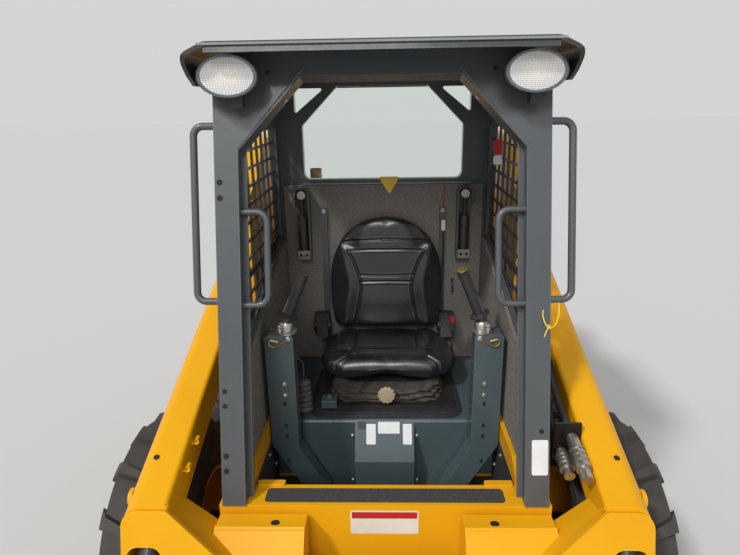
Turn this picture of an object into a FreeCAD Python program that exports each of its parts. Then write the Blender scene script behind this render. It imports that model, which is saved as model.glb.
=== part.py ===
import FreeCAD, Part
import math
import os
import Sketcher
from FreeCAD import Placement, Rotation, Vector

# Skid steer loader. X to the operator's left, Y to the rear, Z up, origin on the floor below the middle.
os.makedirs("parts", exist_ok=True)
doc = FreeCAD.newDocument("SkidSteerLoader")
sheet = doc.addObject("Spreadsheet::Sheet", "Sheet")

# name, value in mm or degrees, what it is
SIZES = [
    ("wheel_r", 392, "tyre radius out to the lugs' tips"),
    ("tyre_w", 270, "tyre width"),
    ("axle_front_y", -520, "front axle"),
    ("axle_rear_y", 480, "rear axle"),
    ("tyre_gap", 20, "gap between an upright and the tyre"),
    ("housing_len", 140, "length of an axle housing outside the main frame"),
    ("lug_depth", 26, "height of the tread lugs"),
    ("lug_w", 54, "lug width along the tread"),
    ("lug_skew", 26, "half the slant of a lug along the tread"),
    ("rim_r", 210, "rim seat radius"),
    ("rim_wall", 9, "rim barrel wall"),
    ("disc_in", 34, "wheel disc's set outward from the tyre's middle"),
    ("hub_r", 85, "wheel hub flange radius"),
    ("hub_shaft_r", 52, "hub neck radius"),
    ("stud_circle_r", 63, "wheel stud circle"),
    ("stud_r", 11, "wheel nut radius"),
    ("housing_r", 62, "axle housing radius"),
    ("run_gap", 0.3, "clearance between faces that run or seat"),
    ("tub_half", 460, "half width of the main frame"),
    ("tub_bottom_z", 200, "belly height"),
    ("tub_front_y", -795, "front face of the main frame"),
    ("tub_rear_y", 1110, "rear face of the main frame"),
    ("tub_top_z", 720, "top of the main frame beside the footwell"),
    ("bay_top_z", 760, "top of the main frame round the engine"),
    ("threshold", 88, "depth of the step at the cab's mouth"),
    ("side_box_w", 82, "width of the main frame's side boxes"),
    ("chaincase_in_x", 280, "inner face of the chaincases"),
    ("chaincase_top_z", 520, "top of the chaincases"),
    ("floor_z", 420, "footwell floor"),
    ("bay_front_y", 190, "front wall of the engine bay"),
    ("frame_wall", 12, "wall of the main frame"),
    ("sill_h", 60, "height of the flanges beside the footwell"),
    ("cab_inset", 10, "cab's side from the main frame's side"),
    ("post_foot_y", -800, "front of the posts at their foot"),
    ("post_w", 65, "width of a front post"),
    ("post_deep", 60, "depth of a front post"),
    ("rake", 14.1, "rake of the front posts, degrees"),
    ("header_half", 215, "half width of the front opening's top edge"),
    ("header_drop", 62, "front opening's top edge below the roof"),
    ("corner_drop", 188, "front opening's corners below its top edge"),
    ("seal_w", 14, "width of the seal frame inside the front opening"),
    ("handle_r", 10, "radius of the grab handles"),
    ("cab_rear_y", 150, "rear face of the cab"),
    ("rear_wall", 40, "depth of the cab's rear frame"),
    ("side_wall", 12, "thickness of the cab's side panels"),
    ("window_drop", 85, "rear window's top edge below the roof"),
    ("window_corner_drop", 140, "rear window's upper corners below its top edge"),
    ("window_side_h", 202, "height of the rear window's upright sides"),
    ("window_half", 307, "half width of the rear window"),
    ("window_top_half", 170, "half width of the rear window's top edge"),
    ("glass", 6, "pane thickness"),
    ("side_inset", 50, "inner face of the cab's side panels from the posts' outer side"),
    ("screen_drop", 230, "top of the side screens below the roof"),
    ("screen_front_h", 595, "height of the side screens at their front edge"),
    ("screen_rear_h", 410, "height of the side screens at their rear edge"),
    ("liner", 10, "thickness of the foam liners"),
    ("strut_x", 315, "middle of the channels in the cab's rear corners"),
    ("strut_w", 60, "width of the corner channels"),
    ("strut_deep", 46, "depth of the corner channels"),
    ("strut_h", 290, "height of the corner channels"),
    ("screen_rear_y", 85, "rear edge of the side screens"),
    ("screen_bar", 8, "thickness of the screen's wires"),
    ("screen_pitch_y", 76, "spacing of upright wires"),
    ("screen_pitch_z", 54, "spacing of level wires"),
    ("roof_top_z", 1930, "top of the roof"),
    ("roof_over", 40, "roof's reach past the posts"),
    ("roof_bevel", 65, "width of the roof's sloping sides"),
    ("roof_skirt_z", 1832, "lower edge of the roof's sides"),
    ("roof_front_y", -655, "front edge of the roof"),
    ("roof_rear_y", 200, "rear edge of the roof"),
    ("roof_wall", 10, "roof thickness"),
    ("roof_brow", 110, "depth of the roof in front of its sides"),
    ("lamp_inset", 65, "lamp centre from the posts' outer side"),
    ("lamp_y", -615, "lamp's front face"),
    ("brow_thick", 25, "thickness of the roof's brow"),
    ("lamp_w", 156, "lamp width"),
    ("lamp_h", 104, "lamp height"),
    ("lamp_deep", 62, "lamp depth"),
    ("seat_x", 10, "seat's middle"),
    ("seat_half", 245, "half width of the cushion"),
    ("seat_front_y", -250, "front of the cushion"),
    ("seat_rear_y", 92, "rear of the cushion"),
    ("seat_round", 28, "rounding of the cushions' edges"),
    ("seat_low_z", 800, "underside of the cushion"),
    ("seat_top_z", 907, "top of the cushion"),
    ("back_y", 50, "front of the backrest at its foot"),
    ("back_thick", 76, "thickness of the backrest"),
    ("back_top_z", 1374, "top of the backrest"),
    ("back_half", 230, "half width of the backrest"),
    ("box_front_y", -400, "front face of the seat box"),
    ("box_top_z", 745, "top of the seat box"),
    ("box_half", 282, "half width of the seat box"),
    ("control_top_z", 1095, "top of the control towers"),
    ("control_y", -450, "middle of the control towers"),
    ("control_deep", 60, "depth of the control towers"),
    ("grip_r", 14, "radius of the control levers"),
    ("console_half", 100, "half width of the console in front of the seat box"),
    ("tail_lamp_drop", 250, "middle of the tail lamps below the uprights' top"),
    ("tower_thick", 80, "thickness of the rear uprights"),
    ("tower_top_z", 1660, "top of the rear uprights"),
    ("hood_z", 1290, "top of the hood"),
    ("hood_half", 285, "half width of the hood"),
    ("hood_roll_r", 6, "radius of the hood's hinge roll"),
    ("hood_wall", 8, "hood thickness"),
    ("hinge_out", 18, "rear door's hinge pins outside the main frame's side"),
    ("hinge_y", 1165, "rear door's hinge pins, from the middle"),
    ("hinge_r", 9, "rear door's hinge pin radius"),
    ("door_inset", 12, "rear door's side from the uprights"),
    ("door_deep", 79.7, "depth of the rear door"),
    ("door_low_z", 330, "lower edge of the rear door"),
    ("door_wall", 10, "wall of the rear door"),
    ("slat_h", 14, "height of the grille's slats"),
    ("slat_pitch", 42, "spacing of the grille's slats"),
    ("arm_gap", 10, "gap between an upright and the boom arm"),
    ("arm_w", 115, "width of a boom arm"),
    ("arm_plate", 12, "thickness of the arm's plates"),
    ("pivot_y", 950, "boom pivot"),
    ("pivot_z", 1450, "boom pivot height"),
    ("pivot_r", 85, "radius of the arm's rear end"),
    ("knee_y", -930, "top corner of the boom's front leg"),
    ("knee_z", 812, "height of the top corner of the boom's front leg"),
    ("arm_slope", 0.38, "rise of the arm's top edge per unit length"),
    ("arm_deep", 134, "depth of the arm, measured upright"),
    ("leg_deep", 108, "depth of the boom's front leg"),
    ("leg_slope", 0.28, "forward slope of the boom's front leg"),
    ("cross_low_z", 300, "lower edge of the boom's cross member"),
    ("cross_deep", 170, "depth of the boom's cross member"),
    ("cross_rear_y", -806, "rear face of the boom's cross member"),
    ("gusset_in_x", 330, "inner end of the gussets between legs and step"),
    ("step_z", 580, "top of the step on the cross member"),
    ("step_half", 193, "half width of the step"),
    ("slot_top_z", 722, "top of the slots in the front plate for the tilt cylinders"),
    ("block_hole_x", 296, "holes in the blocks beside the step"),
    ("side_block_z", 700, "top of the blocks beside the step"),
    ("lip_round", 12, "rounding of the arm's inner top edge"),
    ("pin_cap", 9, "thickness of the pins' caps on the arms"),
    ("pivot_pin_r", 45, "radius of the boom's pivot pins"),
    ("arm_round", 42, "rounding of the arm's outer top edge"),
    ("bracket_y", -712, "front face of the quick couplers' bracket"),
    ("bracket_w", 74, "width of the quick couplers' bracket"),
    ("wedge_x", 165, "middle of the coupler's wedges"),
    ("wedge_half", 15, "half width of the coupler's wedges"),
    ("wedge_thick", 12, "thickness of the coupler's wedges"),
    ("coupler_y", -1075, "coupler pivot"),
    ("coupler_z", 235, "coupler pivot height"),
    ("coupler_eye_r", 48, "radius of the leg's lower end"),
    ("plate_y", -1190, "front face of the coupler"),
    ("plate_inset", 13, "coupler's side inside the boom arms' outer faces"),
    ("plate_low_z", 70, "lower edge of the coupler"),
    ("plate_top_z", 475, "top edge of the coupler"),
    ("plate_thick", 14, "thickness of the coupler's plate"),
    ("plate_notch_z", 335, "top edge of the coupler in front of the cylinders"),
    ("coupler_pin_r", 20, "coupler pivot pin radius"),
    ("lift_base_y", 960, "lift cylinder's base pin"),
    ("lift_base_z", 640, "lift cylinder's base pin height"),
    ("lift_rod_y", 250, "lift cylinder's rod pin"),
    ("lift_rod_z", 1050, "lift cylinder's rod pin height"),
    ("lift_r", 36, "lift barrel radius"),
    ("lift_rod_r", 19, "lift rod radius"),
    ("lift_stroke", 587, "travel of the lift rod"),
    ("lift_barrel_len", 735, "lift barrel from its pin to its gland"),
    ("tilt_base_y", -850, "tilt cylinder's base pin"),
    ("tilt_base_z", 790, "tilt cylinder's base pin height"),
    ("tilt_ear_y", -1152, "tilt cylinder's rod pin"),
    ("tilt_ear_z", 381, "tilt cylinder's rod pin height"),
    ("tilt_r", 30, "tilt barrel radius"),
    ("tilt_rod_r", 16, "tilt rod radius"),
    ("tilt_stroke", 250, "travel of the tilt rod from its place at rest"),
    ("tilt_barrel_len", 400, "tilt barrel from its pin to its gland"),
    ("eye_r", 32, "outer radius of the cylinders' eyes"),
    ("eye_half", 22, "half width of the cylinders' eyes"),
    ("pin_r", 16, "cylinder pin radius"),
]


class Size:
    """A length worked out from the sheet: its number now, and the expression that keeps it up to date."""

    def __init__(self, text, number):
        self.text = text
        self.number = number

    def __add__(self, other):
        other = as_size(other)
        return Size(f"({self.text} + {other.text})", self.number + other.number)

    def __sub__(self, other):
        other = as_size(other)
        return Size(f"({self.text} - {other.text})", self.number - other.number)

    def __mul__(self, other):
        other = as_size(other)
        return Size(f"({self.text} * {other.text})", self.number * other.number)

    def __truediv__(self, other):
        other = as_size(other)
        return Size(f"({self.text} / {other.text})", self.number / other.number)

    def __neg__(self):
        return Size(f"(0 - {self.text})", -self.number)

    def __radd__(self, other):
        return as_size(other) + self

    def __rsub__(self, other):
        return as_size(other) - self

    def __rmul__(self, other):
        return as_size(other) * self


def as_size(value):
    return value if isinstance(value, Size) else Size(f"({value})", float(value))


class Sizes:
    """The sheet's values by name, such as S.wheel_r."""


S = Sizes()
for row, (name, value, note) in enumerate(SIZES, 1):
    sheet.set(f"A{row}", str(value))
    sheet.setAlias(f"A{row}", name)
    sheet.set(f"B{row}", note)
    setattr(S, name, Size(f"Sheet.{name}", float(value)))
doc.recompute()


def bind(thing, prop, size):
    """Sets one property of an object from a size and ties it to the sheet."""
    thing.setExpression(prop, as_size(size).text)


def root(size):
    return Size(f"sqrt({size.text})", math.sqrt(size.number))


def sine(size):
    return Size(f"sin({size.text})", math.sin(math.radians(size.number)))


def cosine(size):
    return Size(f"cos({size.text})", math.cos(math.radians(size.number)))


def tangent(size):
    return Size(f"tan({size.text})", math.tan(math.radians(size.number)))


# places that follow from the sizes
S.post_foot_z = S.tub_top_z
S.cab_half = S.tub_half - S.cab_inset
S.side_x = S.cab_half - S.side_inset
S.rear_half = S.side_x + S.side_wall
S.roof_half = S.cab_half + S.roof_over
S.roof_flat_half = S.roof_half - S.roof_bevel
S.lamp_x = S.cab_half - S.lamp_inset
S.cab_top_z = S.roof_top_z - S.roof_wall - S.run_gap
S.lamp_z = S.roof_top_z - S.brow_thick - S.run_gap - S.lamp_h / 2
S.header_z = S.roof_top_z - S.header_drop
S.corner_z = S.header_z - S.corner_drop
S.window_top_z = S.roof_top_z - S.window_drop
S.window_mid_z = S.window_top_z - S.window_corner_drop
S.window_low_z = S.window_mid_z - S.window_side_h
S.screen_top_z = S.roof_top_z - S.screen_drop
S.screen_front_low_z = S.screen_top_z - S.screen_front_h
S.screen_rear_low_z = S.screen_top_z - S.screen_rear_h
S.side_box_in_x = S.tub_half - S.side_box_w
S.tower_in_x = S.tub_half
S.tower_out_x = S.tower_in_x + S.tower_thick
S.tower_rear_y = S.tub_rear_y
S.door_half = S.tower_in_x - S.door_inset
S.door_y = S.tub_rear_y + S.run_gap
S.hinge_x = -S.tub_half - S.hinge_out
S.tyre_in_x = S.tower_out_x + S.tyre_gap
S.housing_out_x = S.tub_half + S.housing_len
S.arm_in_x = S.tower_out_x + S.arm_gap
S.arm_out_x = S.arm_in_x + S.arm_w
S.cyl_x = (S.arm_in_x + S.arm_out_x) / 2
S.plate_half = S.arm_out_x - S.plate_inset

# sketches and features

PLANES = {"XY": "XY_Plane", "XZ": "XZ_Plane", "YZ": "YZ_Plane"}


def add_body(label):
    body = doc.addObject("PartDesign::Body", label)
    body.Label = label
    if hasattr(body, "AllowCompound"):
        body.AllowCompound = True
    return body


def place_sketch(body, plane, level, centre=(0, 0), tilt=None):
    """A sketch on a plane of its body. XZ sketches face forward, so their level counts backward."""
    sketch = body.newObject("Sketcher::SketchObject", body.Label + "_sketch")
    base = [f for f in body.Origin.OriginFeatures if f.Role == PLANES[plane]][0]
    sketch.AttachmentSupport = [(base, "")]
    sketch.MapMode = "FlatFace"
    level = as_size(level)
    bind(sketch, "AttachmentOffset.Base.x", centre[0])
    bind(sketch, "AttachmentOffset.Base.y", centre[1])
    bind(sketch, "AttachmentOffset.Base.z", -level if plane == "XZ" else level)
    if tilt is not None:
        sketch.AttachmentOffset = Placement(Vector(0, 0, 0), Rotation(Vector(1, 0, 0), tilt.number))
        bind(sketch, "AttachmentOffset.Rotation.Angle", tilt)
    return sketch


def fix_point(sketch, item, end, x, y):
    for kind, size in (("DistanceX", x), ("DistanceY", y)):
        size = as_size(size)
        held = sketch.addConstraint(Sketcher.Constraint(kind, -1, 1, item, end, size.number))
        bind(sketch, f"Constraints[{held}]", size)


def draw_circle(sketch, x, y, radius):
    x, y, radius = as_size(x), as_size(y), as_size(radius)
    ring = Part.Circle(Vector(x.number, y.number, 0), Vector(0, 0, 1), radius.number)
    item = sketch.addGeometry(ring)
    fix_point(sketch, item, 3, x, y)
    held = sketch.addConstraint(Sketcher.Constraint("Radius", item, radius.number))
    bind(sketch, f"Constraints[{held}]", radius)


def corner_points(before, corner, after, radius):
    """Where a corner's arc of this radius meets its two edges, and the arc's centre."""
    to_before = (before - corner).normalize()
    to_after = (after - corner).normalize()
    half = to_before.getAngle(to_after) / 2
    reach = radius / math.tan(half)
    middle = (to_before + to_after).normalize()
    centre = corner + middle * (radius / math.sin(half))
    return corner + to_before * reach, corner + to_after * reach, centre


def draw_outline(sketch, points):
    """A closed outline through points (x, y), or (x, y, radius) for a rounded corner."""
    rows = [tuple(as_size(v) for v in p) for p in points]
    spots = [Vector(r[0].number, r[1].number, 0) for r in rows]
    count = len(rows)
    starts, ends, arcs = [], [], []
    for i, row in enumerate(rows):
        if len(row) == 3:
            first, last, centre = corner_points(spots[i - 1], spots[i], spots[(i + 1) % count], row[2].number)
            starts.append(last)
            ends.append(first)
            arcs.append(centre)
        else:
            starts.append(spots[i])
            ends.append(spots[i])
            arcs.append(None)
    lines = []
    for i in range(count):
        lines.append(sketch.addGeometry(Part.LineSegment(starts[i], ends[(i + 1) % count])))
    for i, row in enumerate(rows):
        before, after = lines[i - 1], lines[i]
        if arcs[i] is None:
            sketch.addConstraint(Sketcher.Constraint("Coincident", before, 2, after, 1))
            fix_point(sketch, after, 1, row[0], row[1])
            continue
        round_corner(sketch, spots[i], row, (ends[i], starts[i], arcs[i]), before, after)


def round_corner(sketch, spot, row, places, before, after):
    first, last, centre = places
    radius = row[2]
    turn = (first - centre).cross(last - centre).z
    angle_a = math.atan2(first.y - centre.y, first.x - centre.x)
    angle_b = math.atan2(last.y - centre.y, last.x - centre.x)
    low, high = (angle_a, angle_b) if turn > 0 else (angle_b, angle_a)
    ring = Part.Circle(centre, Vector(0, 0, 1), radius.number)
    arc = sketch.addGeometry(Part.ArcOfCircle(ring, low, high))
    near, far = (1, 2) if turn > 0 else (2, 1)
    mark = sketch.addGeometry(Part.Point(spot), True)
    fix_point(sketch, mark, 1, row[0], row[1])
    sketch.addConstraint(Sketcher.Constraint("PointOnObject", mark, 1, before))
    sketch.addConstraint(Sketcher.Constraint("PointOnObject", mark, 1, after))
    sketch.addConstraint(Sketcher.Constraint("Tangent", before, 2, arc, near))
    sketch.addConstraint(Sketcher.Constraint("Tangent", after, 1, arc, far))
    held = sketch.addConstraint(Sketcher.Constraint("Radius", arc, radius.number))
    bind(sketch, f"Constraints[{held}]", radius)


def draw_loops(sketch, loops):
    """Each loop is a list of outline points, or a circle written as ("circle", x, y, radius)."""
    for loop in loops:
        if loop[0] == "circle":
            draw_circle(sketch, *loop[1:])
        else:
            draw_outline(sketch, loop)


def pad(body, plane, start, length, loops, centre=(0, 0), tilt=None):
    """Adds material from a plane's level over a length along the axis across it."""
    sketch = place_sketch(body, plane, start, centre, tilt)
    draw_loops(sketch, loops)
    feature = body.newObject("PartDesign::Pad", body.Label + "_pad")
    feature.Profile = sketch
    feature.Reversed = plane == "XZ"
    bind(feature, "Length", length)
    body.Tip = feature
    return feature


def pocket(body, plane, start, length, loops, centre=(0, 0), tilt=None):
    """Cuts from a plane's level over a length along the axis across it."""
    sketch = place_sketch(body, plane, start, centre, tilt)
    draw_loops(sketch, loops)
    feature = body.newObject("PartDesign::Pocket", body.Label + "_pocket")
    feature.Profile = sketch
    feature.Reversed = plane != "XZ"
    bind(feature, "Length", length)
    body.Tip = feature
    return feature


def revolve(body, plane, level, centre, points, axis):
    """Turns an outline about a line through the sketch's centre, along its first or second axis."""
    sketch = place_sketch(body, plane, level, centre)
    draw_outline(sketch, points)
    feature = body.newObject("PartDesign::Revolution", body.Label + "_revolution")
    feature.Profile = sketch
    feature.ReferenceAxis = (sketch, [axis])
    feature.Angle = 360
    body.Tip = feature
    return feature


def repeat_round(body, feature, sketch, count):
    """Repeats a feature about the normal through its sketch's centre."""
    pattern = body.newObject("PartDesign::PolarPattern", body.Label + "_ring")
    pattern.Originals = [feature]
    pattern.Axis = (sketch, ["N_Axis"])
    pattern.Angle = 360
    pattern.Occurrences = count
    body.Tip = pattern
    return pattern


def repeat_along(body, feature, sketch, axis, pitch, count):
    pattern = body.newObject("PartDesign::LinearPattern", body.Label + "_row")
    pattern.Originals = [feature]
    pattern.Direction = (sketch, [axis])
    pattern.Mode = "Spacing"
    pattern.Occurrences = count
    bind(pattern, "Offset", pitch)
    body.Tip = pattern
    return pattern


def box_loop(x0, x1, y0, y1):
    return [(x0, y0), (x1, y0), (x1, y1), (x0, y1)]


def round_box_loop(x0, x1, y0, y1, radius):
    return [(x0, y0, radius), (x1, y0, radius), (x1, y1, radius), (x0, y1, radius)]


def box(label, x0, x1, y0, y1, z0, z1):
    """A Part box between named levels."""
    item = doc.addObject("Part::Box", label)
    item.Label = label
    for prop, low, high in (("Length", x0, x1), ("Width", y0, y1), ("Height", z0, z1)):
        bind(item, prop, as_size(high) - low)
    for prop, low in (("x", x0), ("y", y0), ("z", z0)):
        bind(item, "Placement.Base." + prop, low)
    return item


def tube_x(label, x0, x1, y, z, radius):
    """A round bar along X."""
    item = doc.addObject("Part::Cylinder", label)
    item.Label = label
    item.Placement = Placement(Vector(0, 0, 0), Rotation(Vector(0, 1, 0), 90))
    bind(item, "Radius", radius)
    bind(item, "Height", as_size(x1) - x0)
    for prop, value in (("x", x0), ("y", y), ("z", z)):
        bind(item, "Placement.Base." + prop, value)
    return item


def fuse(label, *items):
    joined = doc.addObject("Part::MultiFuse", label)
    joined.Label = label
    joined.Shapes = list(items)
    joined.Refine = True
    return joined


def common(label, base, tool):
    result = doc.addObject("Part::Common", label)
    result.Label = label
    result.Base = base
    result.Tool = tool
    return result


def group(label, *items):
    """Several solids that don't touch, kept as one sub-part."""
    result = doc.addObject("Part::Compound", label)
    result.Label = label
    result.Links = list(items)
    return result


def bent_bar(label, points, radius, bend):
    """A round bar through points (x, y, z): straight runs and bends turned about their centres."""
    spots = [Vector(*(as_size(v).number for v in p)) for p in points]
    radius = as_size(radius).number
    pieces = []
    at = spots[0]
    for i in range(1, len(spots) - 1):
        before, corner, after = spots[i - 1:i + 2]
        first, last, centre = corner_points(before, corner, after, as_size(bend).number)
        pieces.append(Part.makeCylinder(radius, (first - at).Length, at, first - at))
        ring = Part.Face(Part.Wire(Part.Circle(first, corner - before, radius).toShape()))
        turn = math.degrees((corner - before).getAngle(after - corner))
        pieces.append(ring.revolve(centre, (corner - before).cross(after - corner), turn))
        at = last
    pieces.append(Part.makeCylinder(radius, (spots[-1] - at).Length, at, spots[-1] - at))
    item = doc.addObject("Part::Feature", label)
    item.Label = label
    item.Shape = pieces[0].multiFuse(pieces[1:]).removeSplitter()
    return item


def round_edges(body, radius, wanted):
    """Rounds those edges of the body whose middle point is wanted."""
    doc.recompute()
    base = body.Tip
    edges = [f"Edge{i}" for i, edge in enumerate(base.Shape.Edges, 1) if wanted(edge.CenterOfMass)]
    feature = body.newObject("PartDesign::Fillet", body.Label + "_round")
    feature.Base = (base, edges)
    bind(feature, "Radius", radius)
    body.Tip = feature
    return feature


def turned_bar(label, start, end, points):
    """A piece turned about the line from start to end; its outline's points are (along, radius)."""
    axis = end - start
    across = axis.cross(Vector(0, 0, 1)).normalize()
    along = Vector(axis).normalize()
    spots = [start + along * along_it + across * radius for along_it, radius in points]
    face = Part.Face(Part.makePolygon([start] + spots + [start + along * points[-1][0], start]))
    item = doc.addObject("Part::Feature", label)
    item.Label = label
    item.Shape = face.revolve(start, along, 360)
    return item


def side_name(side):
    return "left" if side > 0 else "right"


def side_span(side, inner, outer):
    """The lower X level of a span on one side of the machine, and its width."""
    inner, outer = as_size(inner), as_size(outer)
    return (inner if side > 0 else -outer), outer - inner


SIDES = (1, -1)
LUGS = 15
NUTS = 8
NODES = []


def keep(item):
    NODES.append(item)
    return item


# main frame

def chassis_tub():
    body = add_body("chassis_tub")
    front, rear = S.tub_front_y, S.tub_rear_y
    nose = [
        (front, S.tub_top_z), (front, S.tub_bottom_z + 140), (front + 110, S.tub_bottom_z),
        (rear - 90, S.tub_bottom_z), (rear, S.tub_bottom_z + 90), (rear, S.bay_top_z),
        (S.bay_front_y, S.bay_top_z), (S.bay_front_y, S.tub_top_z),
    ]
    pad(body, "YZ", -S.tub_half, S.tub_half * 2, [nose])
    well_front = front + S.threshold
    well_rear = S.bay_front_y - S.frame_wall
    pocket(body, "XY", S.chaincase_top_z, S.tub_top_z,
           [box_loop(-S.side_box_in_x, S.side_box_in_x, well_front, well_rear)])
    pocket(body, "XY", S.floor_z, S.tub_top_z,
           [box_loop(-S.chaincase_in_x, S.chaincase_in_x, well_front, well_rear)])
    wall = S.frame_wall
    pocket(body, "XY", S.tub_bottom_z + 60, S.tub_top_z,
           [box_loop(-S.tub_half + wall, S.tub_half - wall, S.bay_front_y, rear - wall)])
    mouth = box_loop(-S.door_half + 40, S.door_half - 40, S.door_low_z + 30, S.bay_top_z + 10)
    pocket(body, "XZ", rear - wall * 2, wall * 4, [mouth])
    for side in SIDES:
        start, width = side_span(side, S.side_box_in_x, S.side_x)
        flange = [
            (well_front + 2, S.tub_top_z - 1), (well_front + 2, S.tub_top_z + 30, 20),
            (well_front + 60, S.tub_top_z + S.sill_h, 20), (-370, S.tub_top_z + S.sill_h), (-370, S.tub_top_z - 1),
        ]
        pad(body, "YZ", start, width, [flange])
    return body


keep(chassis_tub())


def axle_housings():
    parts = []
    for side in SIDES:
        for end, axle in (("front", S.axle_front_y), ("rear", S.axle_rear_y)):
            name = f"axle_{end}_{side_name(side)}"
            start, width = side_span(side, S.tub_half, S.housing_out_x)
            neck = tube_x(name + "_tube", start, start + width, axle, S.wheel_r, S.housing_r)
            start, width = side_span(side, S.tub_half, S.tub_half + 22)
            flange = tube_x(name + "_flange", start, start + width, axle, S.wheel_r, S.housing_r + 38)
            parts.append(fuse(name, neck, flange))
    return group("axle_housings", *parts)


keep(axle_housings())


def rear_upright(side):
    """The upright that carries the boom's pivot, with the lug for the lift cylinder's base pin."""
    label = "upright_" + side_name(side)
    start, width = side_span(side, S.tower_in_x, S.tower_out_x)
    top = S.tower_top_z
    body = add_body(label)
    front, low = S.bay_front_y, S.lift_base_z - 80
    outline = [
        (S.tower_rear_y, low, 40), (S.tower_rear_y, top - 130, 60), (S.tower_rear_y - 90, top, 60),
        (front, top, 90), (front - 112, top - 31, 60), (front - 226, top - 130, 60), (front - 350, top - 174, 40),
        (front - 405, top - 360, 60), (front - 340, top - 840, 60), (front - 120, low, 40),
    ]
    pad(body, "YZ", start, width, [outline])
    lug_start, lug_width = side_span(side, S.tower_out_x - 2, S.cyl_x - S.lift_r - 12)
    pad(body, "YZ", lug_start, lug_width, [("circle", S.lift_base_y, S.lift_base_z, S.eye_r + 22)])
    boss_start, boss_width = side_span(side, S.tower_out_x, S.cyl_x - S.eye_half - 3)
    pad(body, "YZ", boss_start, boss_width, [("circle", S.lift_base_y, S.lift_base_z, S.pin_r + 10)])
    pin_start, pin_width = side_span(side, S.cyl_x - S.eye_half - 6, S.cyl_x + S.eye_half + 10)
    pad(body, "YZ", pin_start, pin_width, [("circle", S.lift_base_y, S.lift_base_z, S.pin_r)])
    cap_start, cap_width = side_span(side, S.cyl_x + S.eye_half + 3, S.cyl_x + S.eye_half + 10)
    pad(body, "YZ", cap_start, cap_width, [("circle", S.lift_base_y, S.lift_base_z, S.pin_r + 9)])
    return body


for side in SIDES:
    keep(rear_upright(side))


def tail_lamps():
    lamps = []
    for side in SIDES:
        body = add_body("tail_lamp_" + side_name(side))
        x = side * (S.tower_in_x + S.tower_thick / 2)
        z = S.tower_top_z - S.tail_lamp_drop
        pad(body, "XZ", S.tower_rear_y, 24, [round_box_loop(x - 28, x + 28, z - 55, z + 55, 12)])
        lamps.append(body)
    return group("tail_lamps", *lamps)


keep(tail_lamps())


def engine_block():
    return box("engine_block", -240, 240, S.bay_front_y + 170, S.tub_rear_y - 160,
               S.tub_bottom_z + 60, S.hood_z - 260)


keep(engine_block())


def rear_deck():
    """The fixed strips beside the hood."""
    strips = []
    for side in SIDES:
        start, width = side_span(side, S.hood_half - 30, S.tower_in_x)
        strips.append(box("rear_deck_" + side_name(side), start, start + width,
                          S.cab_rear_y, S.tub_rear_y, S.hood_z - 40, S.hood_z))
    return group("rear_deck", *strips)


keep(rear_deck())


def exhaust_pipe():
    body = add_body("exhaust_pipe")
    pad(body, "XY", S.hood_z, 155, [("circle", -375, 1040, 32)])
    pad(body, "XY", S.hood_z, 8, [("circle", -375, 1040, 55)])
    pocket(body, "XY", S.hood_z + 40, 130, [("circle", -375, 1040, 28)])
    return body


keep(exhaust_pipe())


hood_hinge_y = S.cab_rear_y + 5 + S.hood_roll_r


def hood():
    """The hood with its folded stiffener and the rolled hinge edge behind the cab."""
    body = add_body("hood")
    low = S.hood_z + S.run_gap
    loop = round_box_loop(-S.hood_half, S.hood_half, hood_hinge_y, S.tub_rear_y - 4, 30)
    pad(body, "XY", low, S.hood_wall, [loop])
    rib = box_loop(-S.hood_half + 40, S.hood_half - 40, S.cab_rear_y + 60, S.tub_rear_y - 60)
    core = box_loop(-S.hood_half + 48, S.hood_half - 48, S.cab_rear_y + 68, S.tub_rear_y - 68)
    pad(body, "XY", low - 20, 22, [rib, core])
    slot = pocket(body, "XY", low - 30, 60, [round_box_loop(-S.hood_half + 90, S.hood_half - 90,
                                                           S.cab_rear_y + 130, S.cab_rear_y + 146, 6)])
    repeat_along(body, slot, slot.Profile[0], "V_Axis", 44, 8)
    pad(body, "YZ", -S.hood_half + 40, S.hood_half * 2 - 80,
        [("circle", hood_hinge_y, low + S.hood_roll_r, S.hood_roll_r)])
    return body


keep(hood())


def rear_door():
    """The door with its frame, grille slats and latch."""
    body = add_body("rear_door")
    top = S.hood_z - 6
    pad(body, "XZ", S.door_y, S.door_deep,
        [round_box_loop(-S.door_half, S.door_half, S.door_low_z, top, 45)])
    wall = S.door_wall
    pocket(body, "XZ", S.door_y - 1, S.door_deep - wall + 1,
           [round_box_loop(-S.door_half + wall, S.door_half - wall, S.door_low_z + wall, top - wall, 36)])
    grille_low, grille_high = 640, S.hood_z - 130
    pocket(body, "XZ", S.door_y, S.door_deep * 2, [box_loop(-300, 300, grille_low, grille_high)])
    slat = pad(body, "XZ", S.door_y + S.door_deep - 34, 30,
               [box_loop(-301, 301, grille_low + 22, S.slat_h + grille_low + 22)])
    repeat_along(body, slat, slat.Profile[0], "V_Axis", S.slat_pitch, 12)
    for z in (S.door_low_z + 130, S.hood_z - 160):
        leaf = [(S.hinge_x, S.hinge_y - 16), (-S.door_half + 4, S.hinge_y - 16),
                (-S.door_half + 4, S.hinge_y + 16), (S.hinge_x, S.hinge_y + 16)]
        pad(body, "XY", z + S.run_gap, 40, [leaf])
        pad(body, "XY", z + S.run_gap, 40, [("circle", S.hinge_x, S.hinge_y, 16)])
        pocket(body, "XY", z - 5, 60, [("circle", S.hinge_x, S.hinge_y, S.hinge_r + S.run_gap)])
    return body


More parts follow.
